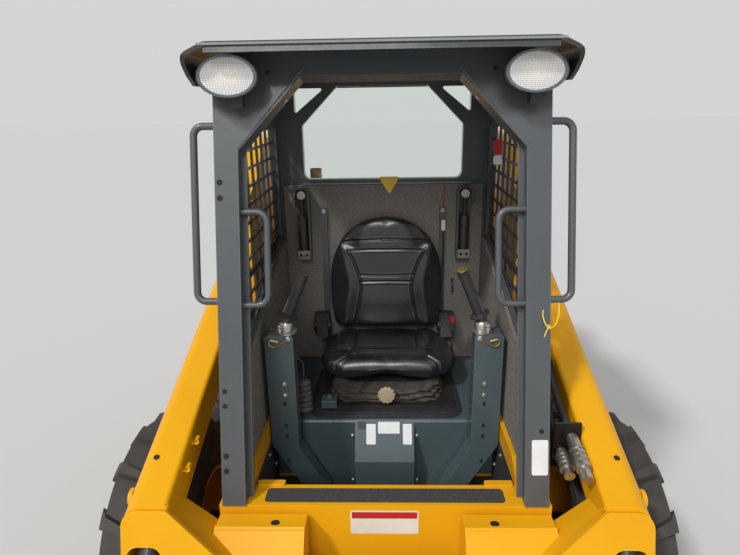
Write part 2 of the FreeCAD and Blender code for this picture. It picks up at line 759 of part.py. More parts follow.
def door_hinges():
    """The brackets and pins on the right upright that carry the rear door."""
    brackets = []
    for row, z in enumerate((S.door_low_z + 130, S.hood_z - 160)):
        body = add_body(f"door_hinge_{row}")
        arm = [(-S.tower_out_x + 30, S.tower_rear_y), (-S.tower_in_x, S.tower_rear_y), (S.hinge_x + 14, S.hinge_y),
               (S.hinge_x + 14, S.hinge_y + 16, 12), (-S.tower_out_x + 30, S.hinge_y + 16, 12)]
        pad(body, "XY", z - 40, 40, [arm])
        pad(body, "XY", z - 40, 100, [("circle", S.hinge_x, S.hinge_y, S.hinge_r)])
        brackets.append(body)
    return group("door_hinges", *brackets)


keep(rear_door())
keep(door_hinges())


# cab

def front_frame_point(x, height):
    """A point of the front frame's raked plane from its half width and its real height."""
    return (x, (as_size(height) - S.post_foot_z) / cosine(S.rake))


def cab_front_frame():
    body = add_body("cab_front_frame")
    half, post = S.cab_half, S.post_w
    shoulder = S.cab_top_z - 45
    outer = [front_frame_point(-half, S.post_foot_z), front_frame_point(half, S.post_foot_z),
             front_frame_point(half, shoulder), front_frame_point(half - 50, S.cab_top_z),
             front_frame_point(-half + 50, S.cab_top_z), front_frame_point(-half, shoulder)]
    inner_half = half - post
    opening = [front_frame_point(-inner_half, S.post_foot_z - 30), front_frame_point(inner_half, S.post_foot_z - 30),
               front_frame_point(inner_half, S.corner_z), front_frame_point(S.header_half, S.header_z),
               front_frame_point(-S.header_half, S.header_z), front_frame_point(-inner_half, S.corner_z)]
    sketch_shift = (0, S.post_foot_z)
    pad(body, "XZ", S.post_foot_y, S.post_deep, [outer], sketch_shift, -S.rake)
    pocket(body, "XZ", S.post_foot_y - 60, S.post_deep * 4, [opening], sketch_shift, -S.rake)
    inner, seal = inner_half, S.seal_w
    sill = front_frame_point(0, S.post_foot_z - 30)[1]
    ring = [front_frame_point(inner + 4, S.post_foot_z - 30), front_frame_point(inner + 4, S.corner_z + 2),
            front_frame_point(S.header_half + 3, S.header_z + 4), front_frame_point(-S.header_half - 3, S.header_z + 4),
            front_frame_point(-inner - 4, S.corner_z + 2), (-inner - 4, sill),
            (-inner + seal, sill), (*front_frame_point(-inner + seal, S.corner_z - 6), 50),
            (*front_frame_point(-S.header_half + 8, S.header_z - seal), 50),
            (*front_frame_point(S.header_half - 8, S.header_z - seal), 50),
            (*front_frame_point(inner - seal, S.corner_z - 6), 50), (inner - seal, sill)]
    pad(body, "XZ", S.post_foot_y + S.post_deep - 20, 6, [ring], sketch_shift, -S.rake)
    foot = box_loop(S.post_foot_y - 40, S.post_foot_y + 300, S.post_foot_z - 60, S.post_foot_z)
    pocket(body, "YZ", -half - 10, half * 2 + 20, [foot])
    return body


keep(cab_front_frame())


def cab_side(side):
    """A side panel with the hole for its screen."""
    label = "cab_side_" + side_name(side)
    body = add_body(label)
    start, width = side_span(side, S.side_x, S.side_x + S.side_wall)
    lean = tangent(S.rake)
    foot_y = S.post_foot_y + S.post_deep

    def post_y(height):
        return foot_y + (as_size(height) - S.post_foot_z) * lean + 2

    rear = S.cab_rear_y - S.rear_wall
    outline = [(post_y(S.tub_top_z), S.tub_top_z), (rear, S.tub_top_z), (rear, S.cab_top_z),
               (post_y(S.cab_top_z), S.cab_top_z)]
    pad(body, "YZ", start, width, [outline])
    gap = 22
    hole = [(post_y(S.screen_front_low_z) + gap, S.screen_front_low_z),
            (S.screen_rear_y - 20, S.screen_rear_low_z),
            (S.screen_rear_y - 20, S.screen_top_z),
            (post_y(S.screen_top_z) + gap, S.screen_top_z)]
    pocket(body, "YZ", start - 5, width + 10, [hole])
    return body


def side_screen(side):
    """The wire screen: upright and level wires inside a frame that lies on the side panel."""
    label = "side_screen_" + side_name(side)
    lean = tangent(S.rake)
    foot_y = S.post_foot_y + S.post_deep

    def post_y(height):
        return foot_y + (as_size(height) - S.post_foot_z) * lean + 2

    def outline(edge):
        gap = 22
        return [(post_y(S.screen_front_low_z) + gap - edge, S.screen_front_low_z - edge),
                (S.screen_rear_y - 20 + edge, S.screen_rear_low_z - edge),
                (S.screen_rear_y - 20 + edge, S.screen_top_z + edge),
                (post_y(S.screen_top_z) + gap - edge, S.screen_top_z + edge)]

    start, width = side_span(side, S.side_x + S.side_wall, S.side_x + S.side_wall + S.screen_bar)
    rim = add_body(label + "_rim")
    pad(rim, "YZ", start, width, [outline(14), outline(-3)])
    field = add_body(label + "_field")
    pad(field, "YZ", start, width, [outline(0)])
    bars = []
    for i in range(9):
        y = S.screen_rear_y - S.screen_pitch_y * (i + 1) + 11
        bars.append(box(f"{label}_upright_{i}", start, start + width, y, y + S.screen_bar,
                        S.screen_front_low_z - 20, S.screen_top_z + 10))
    for i in range(11):
        z = S.screen_top_z - S.screen_pitch_z * (i + 1)
        bars.append(box(f"{label}_level_{i}", start, start + width, S.post_foot_y, S.screen_rear_y + 10,
                        z, z + S.screen_bar))
    bars.append(box(f"{label}_rail", start, start + width, S.post_foot_y, S.screen_rear_y + 10,
                    S.screen_top_z - 432, S.screen_top_z - 410))
    grid = fuse(label + "_grid", *bars)
    inside = common(label + "_wires", grid, field)
    return fuse(label, rim, inside)


for side in SIDES:
    keep(cab_side(side))
    keep(side_screen(side))


def cab_rear_frame():
    body = add_body("cab_rear_frame")
    start = S.cab_rear_y - S.rear_wall
    half = S.rear_half
    outer = [(-half, S.tub_top_z), (half, S.tub_top_z), (half, S.cab_top_z), (-half, S.cab_top_z)]
    pad(body, "XZ", start, S.rear_wall, [outer])
    opening = [(-S.window_half, S.window_low_z, 25), (S.window_half, S.window_low_z, 25),
               (S.window_half, S.window_mid_z, 12), (S.window_top_half, S.window_top_z, 12),
               (-S.window_top_half, S.window_top_z, 12), (-S.window_half, S.window_mid_z, 12)]
    pocket(body, "XZ", start - 5, S.rear_wall + 10, [opening])
    for side in SIDES:
        pocket(body, "XZ", start - 5, S.rear_wall + 10, [corner_pane(side, 0)])
    return body


def corner_pane(side, inset):
    """The small three-cornered window outside each upper corner of the rear window."""
    edge, drop = S.window_half + 26 - inset, S.window_top_z - 4 - inset
    return [(side * edge, drop, 6), (side * edge, S.window_mid_z + 42 + inset * 2, 6),
            (side * (S.window_top_half + 46 + inset * 2), drop, 6)]


keep(cab_rear_frame())


def rear_window():
    body = add_body("rear_window")
    start = S.cab_rear_y - S.rear_wall
    edge = 1
    pane = [(-S.window_half + edge, S.window_low_z + edge, 25), (S.window_half - edge, S.window_low_z + edge, 25),
            (S.window_half - edge, S.window_mid_z, 12), (S.window_top_half, S.window_top_z - edge, 12),
            (-S.window_top_half, S.window_top_z - edge, 12), (-S.window_half + edge, S.window_mid_z, 12)]
    pad(body, "XZ", start + 14, S.glass, [pane])
    for side in SIDES:
        pad(body, "XZ", start + 14, S.glass, [corner_pane(side, S.run_gap)])
    return body


keep(rear_window())


def post_front(height):
    """Front face of the cab's posts at a height."""
    return S.post_foot_y + (as_size(height) - S.post_foot_z) * tangent(S.rake)


def cab_liners():
    """Foam liners on the side panels below the screens and on the rear wall below the window."""
    liners = []
    inner = S.side_x - S.liner
    low = S.tub_top_z + S.sill_h + 3
    gap = 22
    for side in SIDES:
        body = add_body("cab_liner_" + side_name(side))
        start, width = side_span(side, inner, S.side_x)
        clear = S.post_deep + 12
        outline = [(post_front(low) + clear, low), (post_front(S.screen_front_low_z) + clear, S.screen_front_low_z - gap),
                   (S.screen_rear_y - 20, S.screen_rear_low_z - gap),
                   (S.cab_rear_y - S.rear_wall - S.liner - 1, S.screen_rear_low_z - gap),
                   (S.cab_rear_y - S.rear_wall - S.liner - 1, low)]
        pad(body, "YZ", start, width, [outline])
        liners.append(body)
    rear = S.cab_rear_y - S.rear_wall
    liners.append(box("cab_liner_rear", -inner + 1, inner - 1, rear - S.liner, rear, S.box_top_z + 1,
                      S.window_low_z - gap))
    return group("cab_liners", *liners)


def cab_struts():
    """Two upright channels in the rear corners, with their caps under the window."""
    struts = []
    face = S.cab_rear_y - S.rear_wall - S.liner
    high = S.window_low_z - 22
    for side in SIDES:
        body = add_body("cab_strut_" + side_name(side))
        x, wide, deep, wall = S.strut_x * side, S.strut_w / 2, S.strut_deep, 4
        channel = [(x - wide, face), (x - wide, face - deep), (x - wide + wall, face - deep), (x - wide + wall, face - wall),
                   (x + wide - wall, face - wall), (x + wide - wall, face - deep), (x + wide, face - deep), (x + wide, face)]
        pad(body, "XY", high - S.strut_h, S.strut_h, [channel])
        cap = [(face, high), (face, high - 40), (face - deep + 6, high - 40), (face - deep + 6, high - 26, 14),
               (face - 14, high, 14)]
        pad(body, "YZ", x - wide + 2, wide * 2 - 4, [cap])
        struts.append(body)
    return group("cab_struts", *struts)


keep(cab_liners())
keep(cab_struts())


def cab_roof():
    """The roof plate with its sides folded down, open in front over the lamps."""
    body = add_body("cab_roof")
    wall = S.roof_wall
    top, low, half, flat = S.roof_top_z, S.roof_skirt_z, S.roof_half, S.roof_flat_half
    outer = [(-half, low), (-half, top - 30, 40), (-flat, top, 40), (flat, top, 40),
             (half, top - 30, 40), (half, low)]
    inner = [(half - wall, low), (half - wall, top - 30 - wall * 0.5, 30), (flat - 3, top - wall, 30),
             (-flat + 3, top - wall, 30), (-half + wall, top - 30 - wall * 0.5, 30), (-half + wall, low)]
    pad(body, "XZ", S.roof_front_y, S.roof_rear_y - S.roof_front_y, [outer + inner])
    front = S.roof_front_y
    slope = [(front - 5, low - 5), (front + S.roof_brow, low - 5), (front + 55, low + 22, 60),
             (front - 5, top - S.brow_thick)]
    pocket(body, "YZ", -half - 5, half * 2 + 10, [slope])
    brow = [(front, top - S.brow_thick), (front + 6, top - 3), (front + 40, top - 2), (front + 40, top - S.brow_thick)]
    pad(body, "YZ", -flat, flat * 2, [brow])
    back = [(half - wall, low + 10), (half - wall, top - 40), (flat, top - wall + 2),
            (-flat, top - wall + 2), (-half + wall, top - 40), (-half + wall, low + 10)]
    pad(body, "XZ", S.roof_rear_y - wall, wall, [back])
    return body


keep(cab_roof())


def oval(x, z, half_w, half_h):
    """An oval outline of eight rounded corners."""
    flat_w, flat_h = half_w * 0.42, half_h * 0.36
    return [(x + across, z + up, 34) for across, up in (
        (-half_w, -flat_h), (-flat_w, -half_h), (flat_w, -half_h), (half_w, -flat_h),
        (half_w, flat_h), (flat_w, half_h), (-flat_w, half_h), (-half_w, flat_h))]


def front_lamps():
    """Oval lamps: a rim, the bowl behind it and the bracket that holds it under the roof."""
    lamps = []
    for side in SIDES:
        body = add_body("front_lamp_" + side_name(side))
        x = S.lamp_x * side
        half_w, half_h = S.lamp_w / 2, S.lamp_h / 2
        pad(body, "XZ", S.lamp_y, S.lamp_deep * 0.35, [oval(x, S.lamp_z, half_w, half_h)])
        pad(body, "XZ", S.lamp_y + 4, S.lamp_deep - 4, [round_box_loop(x - half_w + 12, x + half_w - 12,
                                                                     S.lamp_z - half_h + 9, S.lamp_z + half_h - 9, 38)])
        pad(body, "XZ", S.lamp_y + S.lamp_deep - 2, 22, [box_loop(x - 22, x + 22, S.lamp_z - 30, S.lamp_z + 20)])
        pad(body, "XZ", S.lamp_y + 14, 40, [box_loop(x - 6, x + 28, S.lamp_z - half_h - 24, S.lamp_z - half_h + 12)])
        lamps.append(body)
    return group("front_lamps", *lamps)


keep(front_lamps())


def grab_handles():
    """Two handles outside the posts and two loops inside them."""
    bars = []
    high, low = S.corner_z + 50, S.corner_z - 410
    for side in SIDES:
        out, inner = side * (S.cab_half + S.run_gap), side * (S.cab_half - S.post_w - S.run_gap)
        reach = out + side * 58
        bars.append(bent_bar("grab_outer_" + side_name(side), [
            (out, post_front(high) + 14, high), (reach, post_front(high) + 14, high),
            (reach, post_front(low) + 14, low), (out, post_front(low) + 14, low)], S.handle_r, 26))
        loop = inner - side * 70
        top, bottom = S.corner_z - 176, S.corner_z - 424
        bars.append(bent_bar("grab_inner_" + side_name(side), [
            (inner, post_front(top) + 24, top), (loop, post_front(top) + 24, top),
            (loop, post_front(bottom) + 24, bottom), (inner, post_front(bottom) + 24, bottom)], S.handle_r - 1, 30))
    return group("grab_handles", *bars)


keep(grab_handles())


# seat and controls

def seat_box():
    body = add_body("seat_box")
    rear = S.cab_rear_y - S.rear_wall
    shell = [(S.box_front_y, S.chaincase_top_z), (S.box_front_y, S.box_top_z, 12),
             (rear, S.box_top_z), (rear, S.chaincase_top_z)]
    pad(body, "YZ", -S.box_half, S.box_half * 2, [shell])
    console = [(S.box_front_y - 36, S.floor_z), (S.box_front_y - 60, 620), (S.box_front_y + 2, S.box_top_z),
               (S.box_front_y + 2, S.floor_z)]
    pad(body, "YZ", -S.console_half, S.console_half * 2, [console])
    knees = [(S.box_front_y, S.floor_z), (S.box_front_y, S.chaincase_top_z + 2),
             (S.box_front_y + 14, S.chaincase_top_z + 2), (S.box_front_y + 14, S.floor_z)]
    pad(body, "YZ", -S.chaincase_in_x, S.chaincase_in_x * 2, [knees])
    return body


keep(seat_box())


def seat_suspension():
    body = add_body("seat_suspension")
    x = S.seat_x
    pad(body, "XY", S.box_top_z, 14, [round_box_loop(x - 240, x + 240, -330, 60, 20)])
    pad(body, "XY", S.box_top_z + 10, S.seat_low_z - S.box_top_z - 10 - S.run_gap,
        [round_box_loop(x - 150, x + 150, -225, 50, 40)])
    return body


keep(seat_suspension())


def seat_cushion():
    body = add_body("seat_cushion")
    x, half = S.seat_x, S.seat_half
    front, rear = S.seat_front_y, S.seat_rear_y
    plan = [(x - half + 8, front, 90), (x + half - 8, front, 90), (x + half, rear - 60, 60),
            (x + half - 45, rear, 40), (x - half + 45, rear, 40), (x - half, rear - 60, 60)]
    pad(body, "XY", S.seat_low_z, S.seat_top_z - S.seat_low_z, [plan])
    top = S.seat_top_z.number
    round_edges(body, S.seat_round, lambda spot: abs(spot.z - top) < 1)
    return body


keep(seat_cushion())


def seat_back():
    body = add_body("seat_back")
    x, half = S.seat_x, S.back_half
    low, high = S.seat_top_z + S.run_gap, S.back_top_z
    shape = [(x - half + 35, low, 20), (x + half - 35, low, 20), (x + half, low + 150, 90),
             (x + half - 20, high - 150, 90), (x + half - 95, high, 90), (x - half + 95, high, 90),
             (x - half + 20, high - 150, 90), (x - half, low + 150, 90)]
    pad(body, "XZ", S.back_y - 30, S.back_thick, [shape])
    face = S.back_y.number - 30
    round_edges(body, S.seat_round - 6, lambda spot: abs(spot.y - face) < 1 and spot.z > low.number + 5)
    return body


keep(seat_back())


def control_towers():
    """The pressed channels that carry the control levers, open to the rear, with two rows of holes."""
    towers = []
    front, wall = S.control_y - S.control_deep / 2, 6
    for side in SIDES:
        body = add_body("control_tower_" + side_name(side))
        high, bend, foot = S.control_top_z, S.box_top_z - 50, S.chaincase_top_z
        loop = [(side * 284, high, 12), (side * 284, bend - 5), (side * 188, foot), (side * 188, S.floor_z),
                (side * 264, S.floor_z), (side * 264, foot), (side * 373, bend + 5), (side * 373, high, 12)]
        pad(body, "XZ", front, S.control_deep, [loop])
        core = [(side * (284 + wall), high - wall, 8), (side * (284 + wall), bend - 2),
                (side * (188 + wall), foot + 3), (side * (188 + wall), foot - 40), (side * (264 - wall), foot - 40),
                (side * (264 - wall), foot + 3), (side * (373 - wall), bend + 8), (side * (373 - wall), high - wall, 8)]
        pocket(body, "XZ", front + wall, S.control_deep + 10, [core])
        start, width = side_span(side, 280, 296)
        hole = pocket(body, "YZ", start, width, [("circle", S.control_y - 4, high - 300, 6)])
        repeat_along(body, hole, hole.Profile[0], "V_Axis", 40, 7)
        towers.append(body)
    return group("control_towers", *towers)


keep(control_towers())


def control_levers():
    levers = []
    for side in SIDES:
        foot = S.control_top_z + S.run_gap
        levers.append(bent_bar("control_lever_" + side_name(side), [
            (side * 308, S.control_y, foot), (side * 308, S.control_y, foot + 55),
            (side * 246, S.control_y, foot + 185)], S.grip_r, 60))
    return group("control_levers", *levers)


keep(control_levers())


# wheels

def place_copy(label, master, axle, side):
    """A wheel piece at one axle, copied from the left piece that was made about the origin."""
    source = master
    if side < 0:
        source = doc.addObject("Part::Mirroring", label + "_mirrored")
        source.Source = master
        source.Normal = Vector(1, 0, 0)
    copy = group(label, source)
    bind(copy, "Placement.Base.y", axle)
    bind(copy, "Placement.Base.z", S.wheel_r)
    return copy


def tyre_master():
    """A tyre about the origin's X axis, turned from its section, with two rows of slanted lugs."""
    body = add_body("tyre_master")
    mid = S.tyre_in_x + S.tyre_w / 2
    half = S.tyre_w / 2
    crown = S.wheel_r - S.lug_depth
    section = [
        (-half + 24, S.rim_r), (-half, S.rim_r + 60), (-half, crown - 60), (-half + 26, crown),
        (half - 26, crown), (half, crown - 60), (half, S.rim_r + 60), (half - 24, S.rim_r),
    ]
    revolve(body, "XZ", 0, (mid, 0), section, "H_Axis")
    lug_row(body, mid, half, 1, 0)
    lug_row(body, mid, half, -1, 180 / LUGS)
    envelope = add_body("tyre_envelope")
    shoulder = 40
    crest = [(-half, S.rim_r - 5), (-half, crown - 30), (-half + shoulder, S.wheel_r),
             (half - shoulder, S.wheel_r), (half, crown - 30), (half, S.rim_r - 5)]
    revolve(envelope, "XZ", 0, (mid, 0), crest, "H_Axis")
    return common("tyre_master_trimmed", body, envelope)


def lug_row(body, mid, half, way, turn):
    """One row of lugs, from near the tread's middle slanting out over the tyre's shoulder."""
    low = S.wheel_r - S.lug_depth - 34
    turn = as_size(turn)
    sketch = place_sketch(body, "XY", 0)
    sketch.AttachmentOffset = Placement(Vector(0, 0, 0), Rotation(Vector(1, 0, 0), turn.number))
    bind(sketch, "AttachmentOffset.Base.x", mid)
    bind(sketch, "AttachmentOffset.Base.y", -low * sine(turn))
    bind(sketch, "AttachmentOffset.Base.z", low * cosine(turn))
    bind(sketch, "AttachmentOffset.Rotation.Angle", turn)
    near, far = S.lug_w * 0.36, S.lug_w * 0.56
    outline = [(way * 4, -near - S.lug_skew), (way * 4, near - S.lug_skew),
               (way * (half + 2), far + S.lug_skew), (way * (half + 2), -far + S.lug_skew)]
    draw_outline(sketch, outline)
    feature = body.newObject("PartDesign::Pad", "lug")
    feature.Profile = sketch
    feature.TaperAngle = -9
    bind(feature, "Length", S.lug_depth + 44)
    body.Tip = feature
    pattern = body.newObject("PartDesign::PolarPattern", "lug_row")
    pattern.Originals = [feature]
    pattern.Axis = ([f for f in body.Origin.OriginFeatures if f.Role == "X_Axis"][0], [""])
    pattern.Angle = 360
    pattern.Occurrences = LUGS
    body.Tip = pattern


def rim_master():
    """A wheel about the origin's X axis, turned from its section, with its hub neck and nuts."""
    body = add_body("rim_master")
    mid = S.tyre_in_x + S.tyre_w / 2
    half = S.tyre_w / 2
    neck = S.housing_out_x + S.run_gap - mid
    inner, seat = S.rim_r - S.rim_wall, S.rim_r
    disc = S.disc_in
    section = [
        (neck, 0), (neck, S.hub_shaft_r), (disc - 26, S.hub_shaft_r), (disc - 26, S.hub_r),
        (disc - 4, inner - 40), (-4, inner), (-half + 24, inner), (-half + 24, seat), (half - 24, seat),
        (half - 24, inner), (10, inner), (disc + 8, inner - 36), (disc - 14, S.hub_r), (disc - 14, 42),
        (disc + 20, 36), (disc + 20, 0),
    ]
    revolve(body, "XZ", 0, (mid, 0), section, "H_Axis")
    hexagon = [(S.stud_r * math.cos(math.radians(a)), S.stud_r * math.sin(math.radians(a)) + S.stud_circle_r)
               for a in range(0, 360, 60)]
    nut = pad(body, "YZ", mid + disc - 16, 18, [hexagon])
    repeat_round(body, nut, nut.Profile[0], NUTS)
    return body


TYRE, RIM = tyre_master(), rim_master()
for side in SIDES:
    for end, axle in (("front", S.axle_front_y), ("rear", S.axle_rear_y)):
        keep(place_copy(f"tyre_{end}_{side_name(side)}", TYRE, axle, side))
        keep(place_copy(f"rim_{end}_{side_name(side)}", RIM, axle, side))


# boom

def arm_top(y):
    """Height of the arm's top edge above a place along the machine."""
    return S.knee_z + (as_size(y) - S.knee_y) * S.arm_slope


def leg_front(z):
    """Front edge of the boom's leg at a height."""
    return S.knee_y - (S.knee_z - as_size(z)) * S.leg_slope


def leg_lean():
    """Angle of the boom's leg to the upright, as the front plate's sketch is turned."""
    return Size("(0 - atan(Sheet.leg_slope) / 1deg)", -math.degrees(math.atan(S.leg_slope.number)))


def boom_arm(side):
    """A box arm with its front leg of two plates, and the ears and pins for both cylinders."""
    label = "boom_arm_" + side_name(side)
    body = add_body(label)
    start, width = side_span(side, S.arm_in_x, S.arm_out_x)
    rear = S.pivot_y + 30
    lean = leg_lean()
    face, slope_foot = (S.arm_plate + S.run_gap) / cosine(lean), 150
    face_top = face / (1 - S.arm_slope * S.leg_slope)
    outline = [
        (S.knee_y + face_top, arm_top(S.knee_y + face_top)),
        (leg_front(S.cross_low_z + 40) + face, S.cross_low_z + 40),
        (leg_front(S.coupler_z - S.coupler_eye_r), S.coupler_z - S.coupler_eye_r, 40),
        (S.coupler_y + S.coupler_eye_r + 20, S.coupler_z - S.coupler_eye_r, 40),
        (leg_front(600) + S.leg_deep, 600, 60),
        (leg_front(S.knee_z - S.arm_deep) + S.leg_deep + 20, arm_top(S.knee_y + 130) - S.arm_deep, 40),
        (slope_foot, arm_top(slope_foot) - S.arm_deep, 60),
        (S.lift_rod_y - 30, S.lift_rod_z - 50, 40), (S.lift_rod_y + 80, S.lift_rod_z - 50, 40),
        (rear - 60, S.pivot_z - S.pivot_r, 60),
        (rear + 60, S.pivot_z - S.pivot_r + 20),
        (rear + 60, arm_top(rear), 60),
    ]
    pad(body, "YZ", start, width, [outline])
    outer_x = side * S.arm_out_x.number
    inner_x = side * S.arm_in_x.number
    middle_y = (S.knee_y.number + S.pivot_y.number) / 2
    top_z = arm_top(middle_y).number

    def top_edge(x):
        return lambda spot: abs(spot.x - x) < 1 and abs(spot.y - middle_y) < 200 and abs(spot.z - top_z) < 80

    round_edges(body, S.arm_round, top_edge(outer_x))
    round_edges(body, S.lip_round, top_edge(inner_x))
    inner_start, inner_width = side_span(side, S.arm_in_x + S.arm_plate, S.arm_out_x - S.arm_plate)
    skin = S.arm_plate
    lip, back = S.slot_top_z + 28, S.tilt_base_y + 62
    barrel_space = [(leg_front(lip) + skin * 2, lip - 1), (S.knee_y + skin * 2, arm_top(S.knee_y + skin * 2) - skin),
                    (back, arm_top(back) - skin), (back, lip - 1)]
    space_start, space_width = side_span(side, S.arm_in_x + S.arm_plate, S.arm_out_x - S.arm_plate - 10)
    pocket(body, "YZ", space_start, space_width, [barrel_space])
    leg_space = [
        (leg_front(lip) - 40, lip), (back, lip),
        (back, lip - 5), (leg_front(560) + S.leg_deep - skin, 560), (leg_front(330) + S.leg_deep - skin, 330),
        (leg_front(310) + S.leg_deep + 60, 310), (S.coupler_y + 160, 120), (S.coupler_y - 120, 120),
        (leg_front(500) - 60, 500),
    ]
    pocket(body, "YZ", inner_start, inner_width, [leg_space])
    fork = box_loop(S.lift_rod_y - 190, S.lift_rod_y + 230, S.lift_rod_z - 90, S.lift_rod_z + 82)
    pocket(body, "YZ", inner_start, inner_width, [fork])
    pocket(body, "YZ", start - 5, width + 10,
           [("circle", S.coupler_y, S.coupler_z, S.coupler_pin_r + S.run_gap)])
    pad(body, "YZ", start, width, [("circle", S.tilt_base_y, S.tilt_base_z, S.pin_r)])
    cap_start, cap_width = side_span(side, S.arm_out_x - 1, S.arm_out_x + S.pin_cap)
    for y, z, radius in ((S.pivot_y, S.pivot_z, S.pivot_pin_r), (S.tilt_base_y, S.tilt_base_z, S.pin_r + 8),
                         (S.lift_rod_y, S.lift_rod_z, S.pin_r + 8)):
        pad(body, "YZ", cap_start, cap_width, [("circle", y, z, radius)])
    return body


for side in SIDES:
    keep(boom_arm(side))


def boom_pivot_pins():
    pins = []
    for side in SIDES:
        start, width = side_span(side, S.tower_out_x + 0.5, S.arm_in_x)
        pins.append(tube_x("boom_pivot_" + side_name(side), start, start + width, S.pivot_y, S.pivot_z,
                           S.pivot_pin_r))
    return group("boom_pivot_bosses", *pins)


keep(boom_pivot_pins())


def boom_cross():
    """The cross member: the front plate over the arms' ends, a deep beam, step, side blocks and gussets."""
    body = add_body("boom_cross")
    low = S.cross_low_z
    lean = leg_lean()

    def on_face(x, height, *rounding):
        return (x, (as_size(height) - low) / cosine(lean), *rounding)

    half, step = S.arm_in_x, S.step_half
    crest = [on_face(-S.gusset_in_x, S.step_z + 35), on_face(-step, S.step_z - 6),
             on_face(step, S.step_z - 6), on_face(S.gusset_in_x, S.step_z + 35)]
    outer, slot_in, slot_out = S.arm_out_x, S.arm_in_x + S.arm_plate, S.arm_out_x - S.arm_plate
    plate = [on_face(-outer, low + 40), on_face(-outer, S.knee_z, S.arm_round), on_face(-half, S.knee_z, 16),
             *crest, on_face(half, S.knee_z, 16), on_face(outer, S.knee_z, S.arm_round), on_face(outer, low + 40),
             on_face(slot_out, low + 40), on_face(slot_out, S.slot_top_z, 30), on_face(slot_in, S.slot_top_z, 30),
             on_face(slot_in, low + 40), on_face(half - 60, low), on_face(-half + 60, low),
             on_face(-slot_in, low + 40), on_face(-slot_in, S.slot_top_z, 30), on_face(-slot_out, S.slot_top_z, 30),
             on_face(-slot_out, low + 40)]
    pad(body, "XZ", leg_front(low), S.arm_plate, [plate], (0, low), lean)
    beam = [on_face(-half, S.knee_z - 20), *crest, on_face(half, S.knee_z - 20), on_face(half, low + 50),
            on_face(half - 70, low), on_face(-half + 70, low), on_face(-half, low + 50)]
    pad(body, "XZ", leg_front(low) + 2, S.cross_deep, [beam], (0, low), lean)
    pocket(body, "XZ", S.cross_rear_y, 300, [box_loop(-half - 10, half + 10, low - 100, S.knee_z + 100)])
    lip = S.cross_rear_y - 58
    block = [(S.cross_rear_y, S.side_block_z), (lip + 7, S.side_block_z), (lip + 7, S.side_block_z + 7),
             (lip, S.side_block_z + 7), (leg_front(S.step_z) + 26, S.step_z - 8), (S.cross_rear_y, S.step_z - 8)]
    for side in SIDES:
        start, width = side_span(side, S.step_half + 20, S.tub_half - 5)
        pad(body, "YZ", start, width, [block])
        pocket(body, "XY", S.side_block_z - 40, 60, [("circle", S.block_hole_x * side, S.cross_rear_y - 34, 7)])
    tread = [(leg_front(S.step_z) + 14, S.step_z - 10), (leg_front(S.step_z) + 14, S.step_z, 6),
             (S.cross_rear_y - 60, S.step_z, 6), (S.cross_rear_y - 60, S.step_z - 10)]
    pad(body, "YZ", -S.step_half, S.step_half * 2, [tread])
    return body


keep(boom_cross())


def quick_couplers():
    """Two hydraulic quick couplers, pointing forward and down, on a bracket inside the left arm."""
    plate_x = S.arm_in_x - S.bracket_w
    rear, low = S.bracket_y, S.knee_z + 3
    parts = [box("quick_bracket", plate_x, S.arm_in_x, rear, rear + 10, low, low + 110)]
    slope = 0.24
    for x, height, length in ((S.arm_in_x - 24, low + 76, 190), (S.arm_in_x - 50, low + 30, 130)):
        start = Vector(x.number, rear.number + 45, height.number)
        end = start + Vector(0, -1, -slope).normalize() * length
        outline = [(0, 11), (28, 11), (28, 17), (length * 0.45, 17), (length * 0.45, 21)]
        for step in range(3):
            ring = length * (0.5 + 0.1 * step)
            outline += [(ring, 21), (ring, 18.5), (ring + 5, 18.5), (ring + 5, 21)]
        outline += [(length * 0.82, 21), (length * 0.82, 15), (length, 15)]
        parts.append(turned_bar(f"quick_coupler_{length}", start, end, outline))
    return fuse("quick_couplers", *parts)


keep(quick_couplers())


# coupler

def coupler_levers():
    """The two locking levers with their wedges through the lower ledge."""
    levers = []
    for side in SIDES:
        name = "coupler_lever_" + side_name(side)
        x = S.wedge_x * side
        y = S.plate_y + S.plate_thick + S.run_gap
        rod = box(name + "_wedge", x - S.wedge_half, x + S.wedge_half, y, y + S.wedge_thick,
                  S.plate_low_z - 8, S.plate_top_z - 75)
        boss = doc.addObject("Part::Cylinder", name + "_boss")
        boss.Placement = Placement(Vector(0, 0, 0), Rotation(Vector(1, 0, 0), -90))
        bind(boss, "Radius", S.wedge_half + 10)
        bind(boss, "Height", S.wedge_thick + 6)
        for prop, value in (("x", x), ("y", y), ("z", S.plate_top_z - 80)):
            bind(boss, "Placement.Base." + prop, value)
        grip = bent_bar(name + "_grip", [
            (x, y + 12, S.plate_top_z - 80), (x + side * 40, y + 12, S.plate_top_z - 20),
            (x + side * 60, y + 12, S.plate_top_z + 55)], 8, 60)
        levers.append(fuse(name, rod, boss, grip))
    return group("coupler_levers", *levers)


keep(coupler_levers())


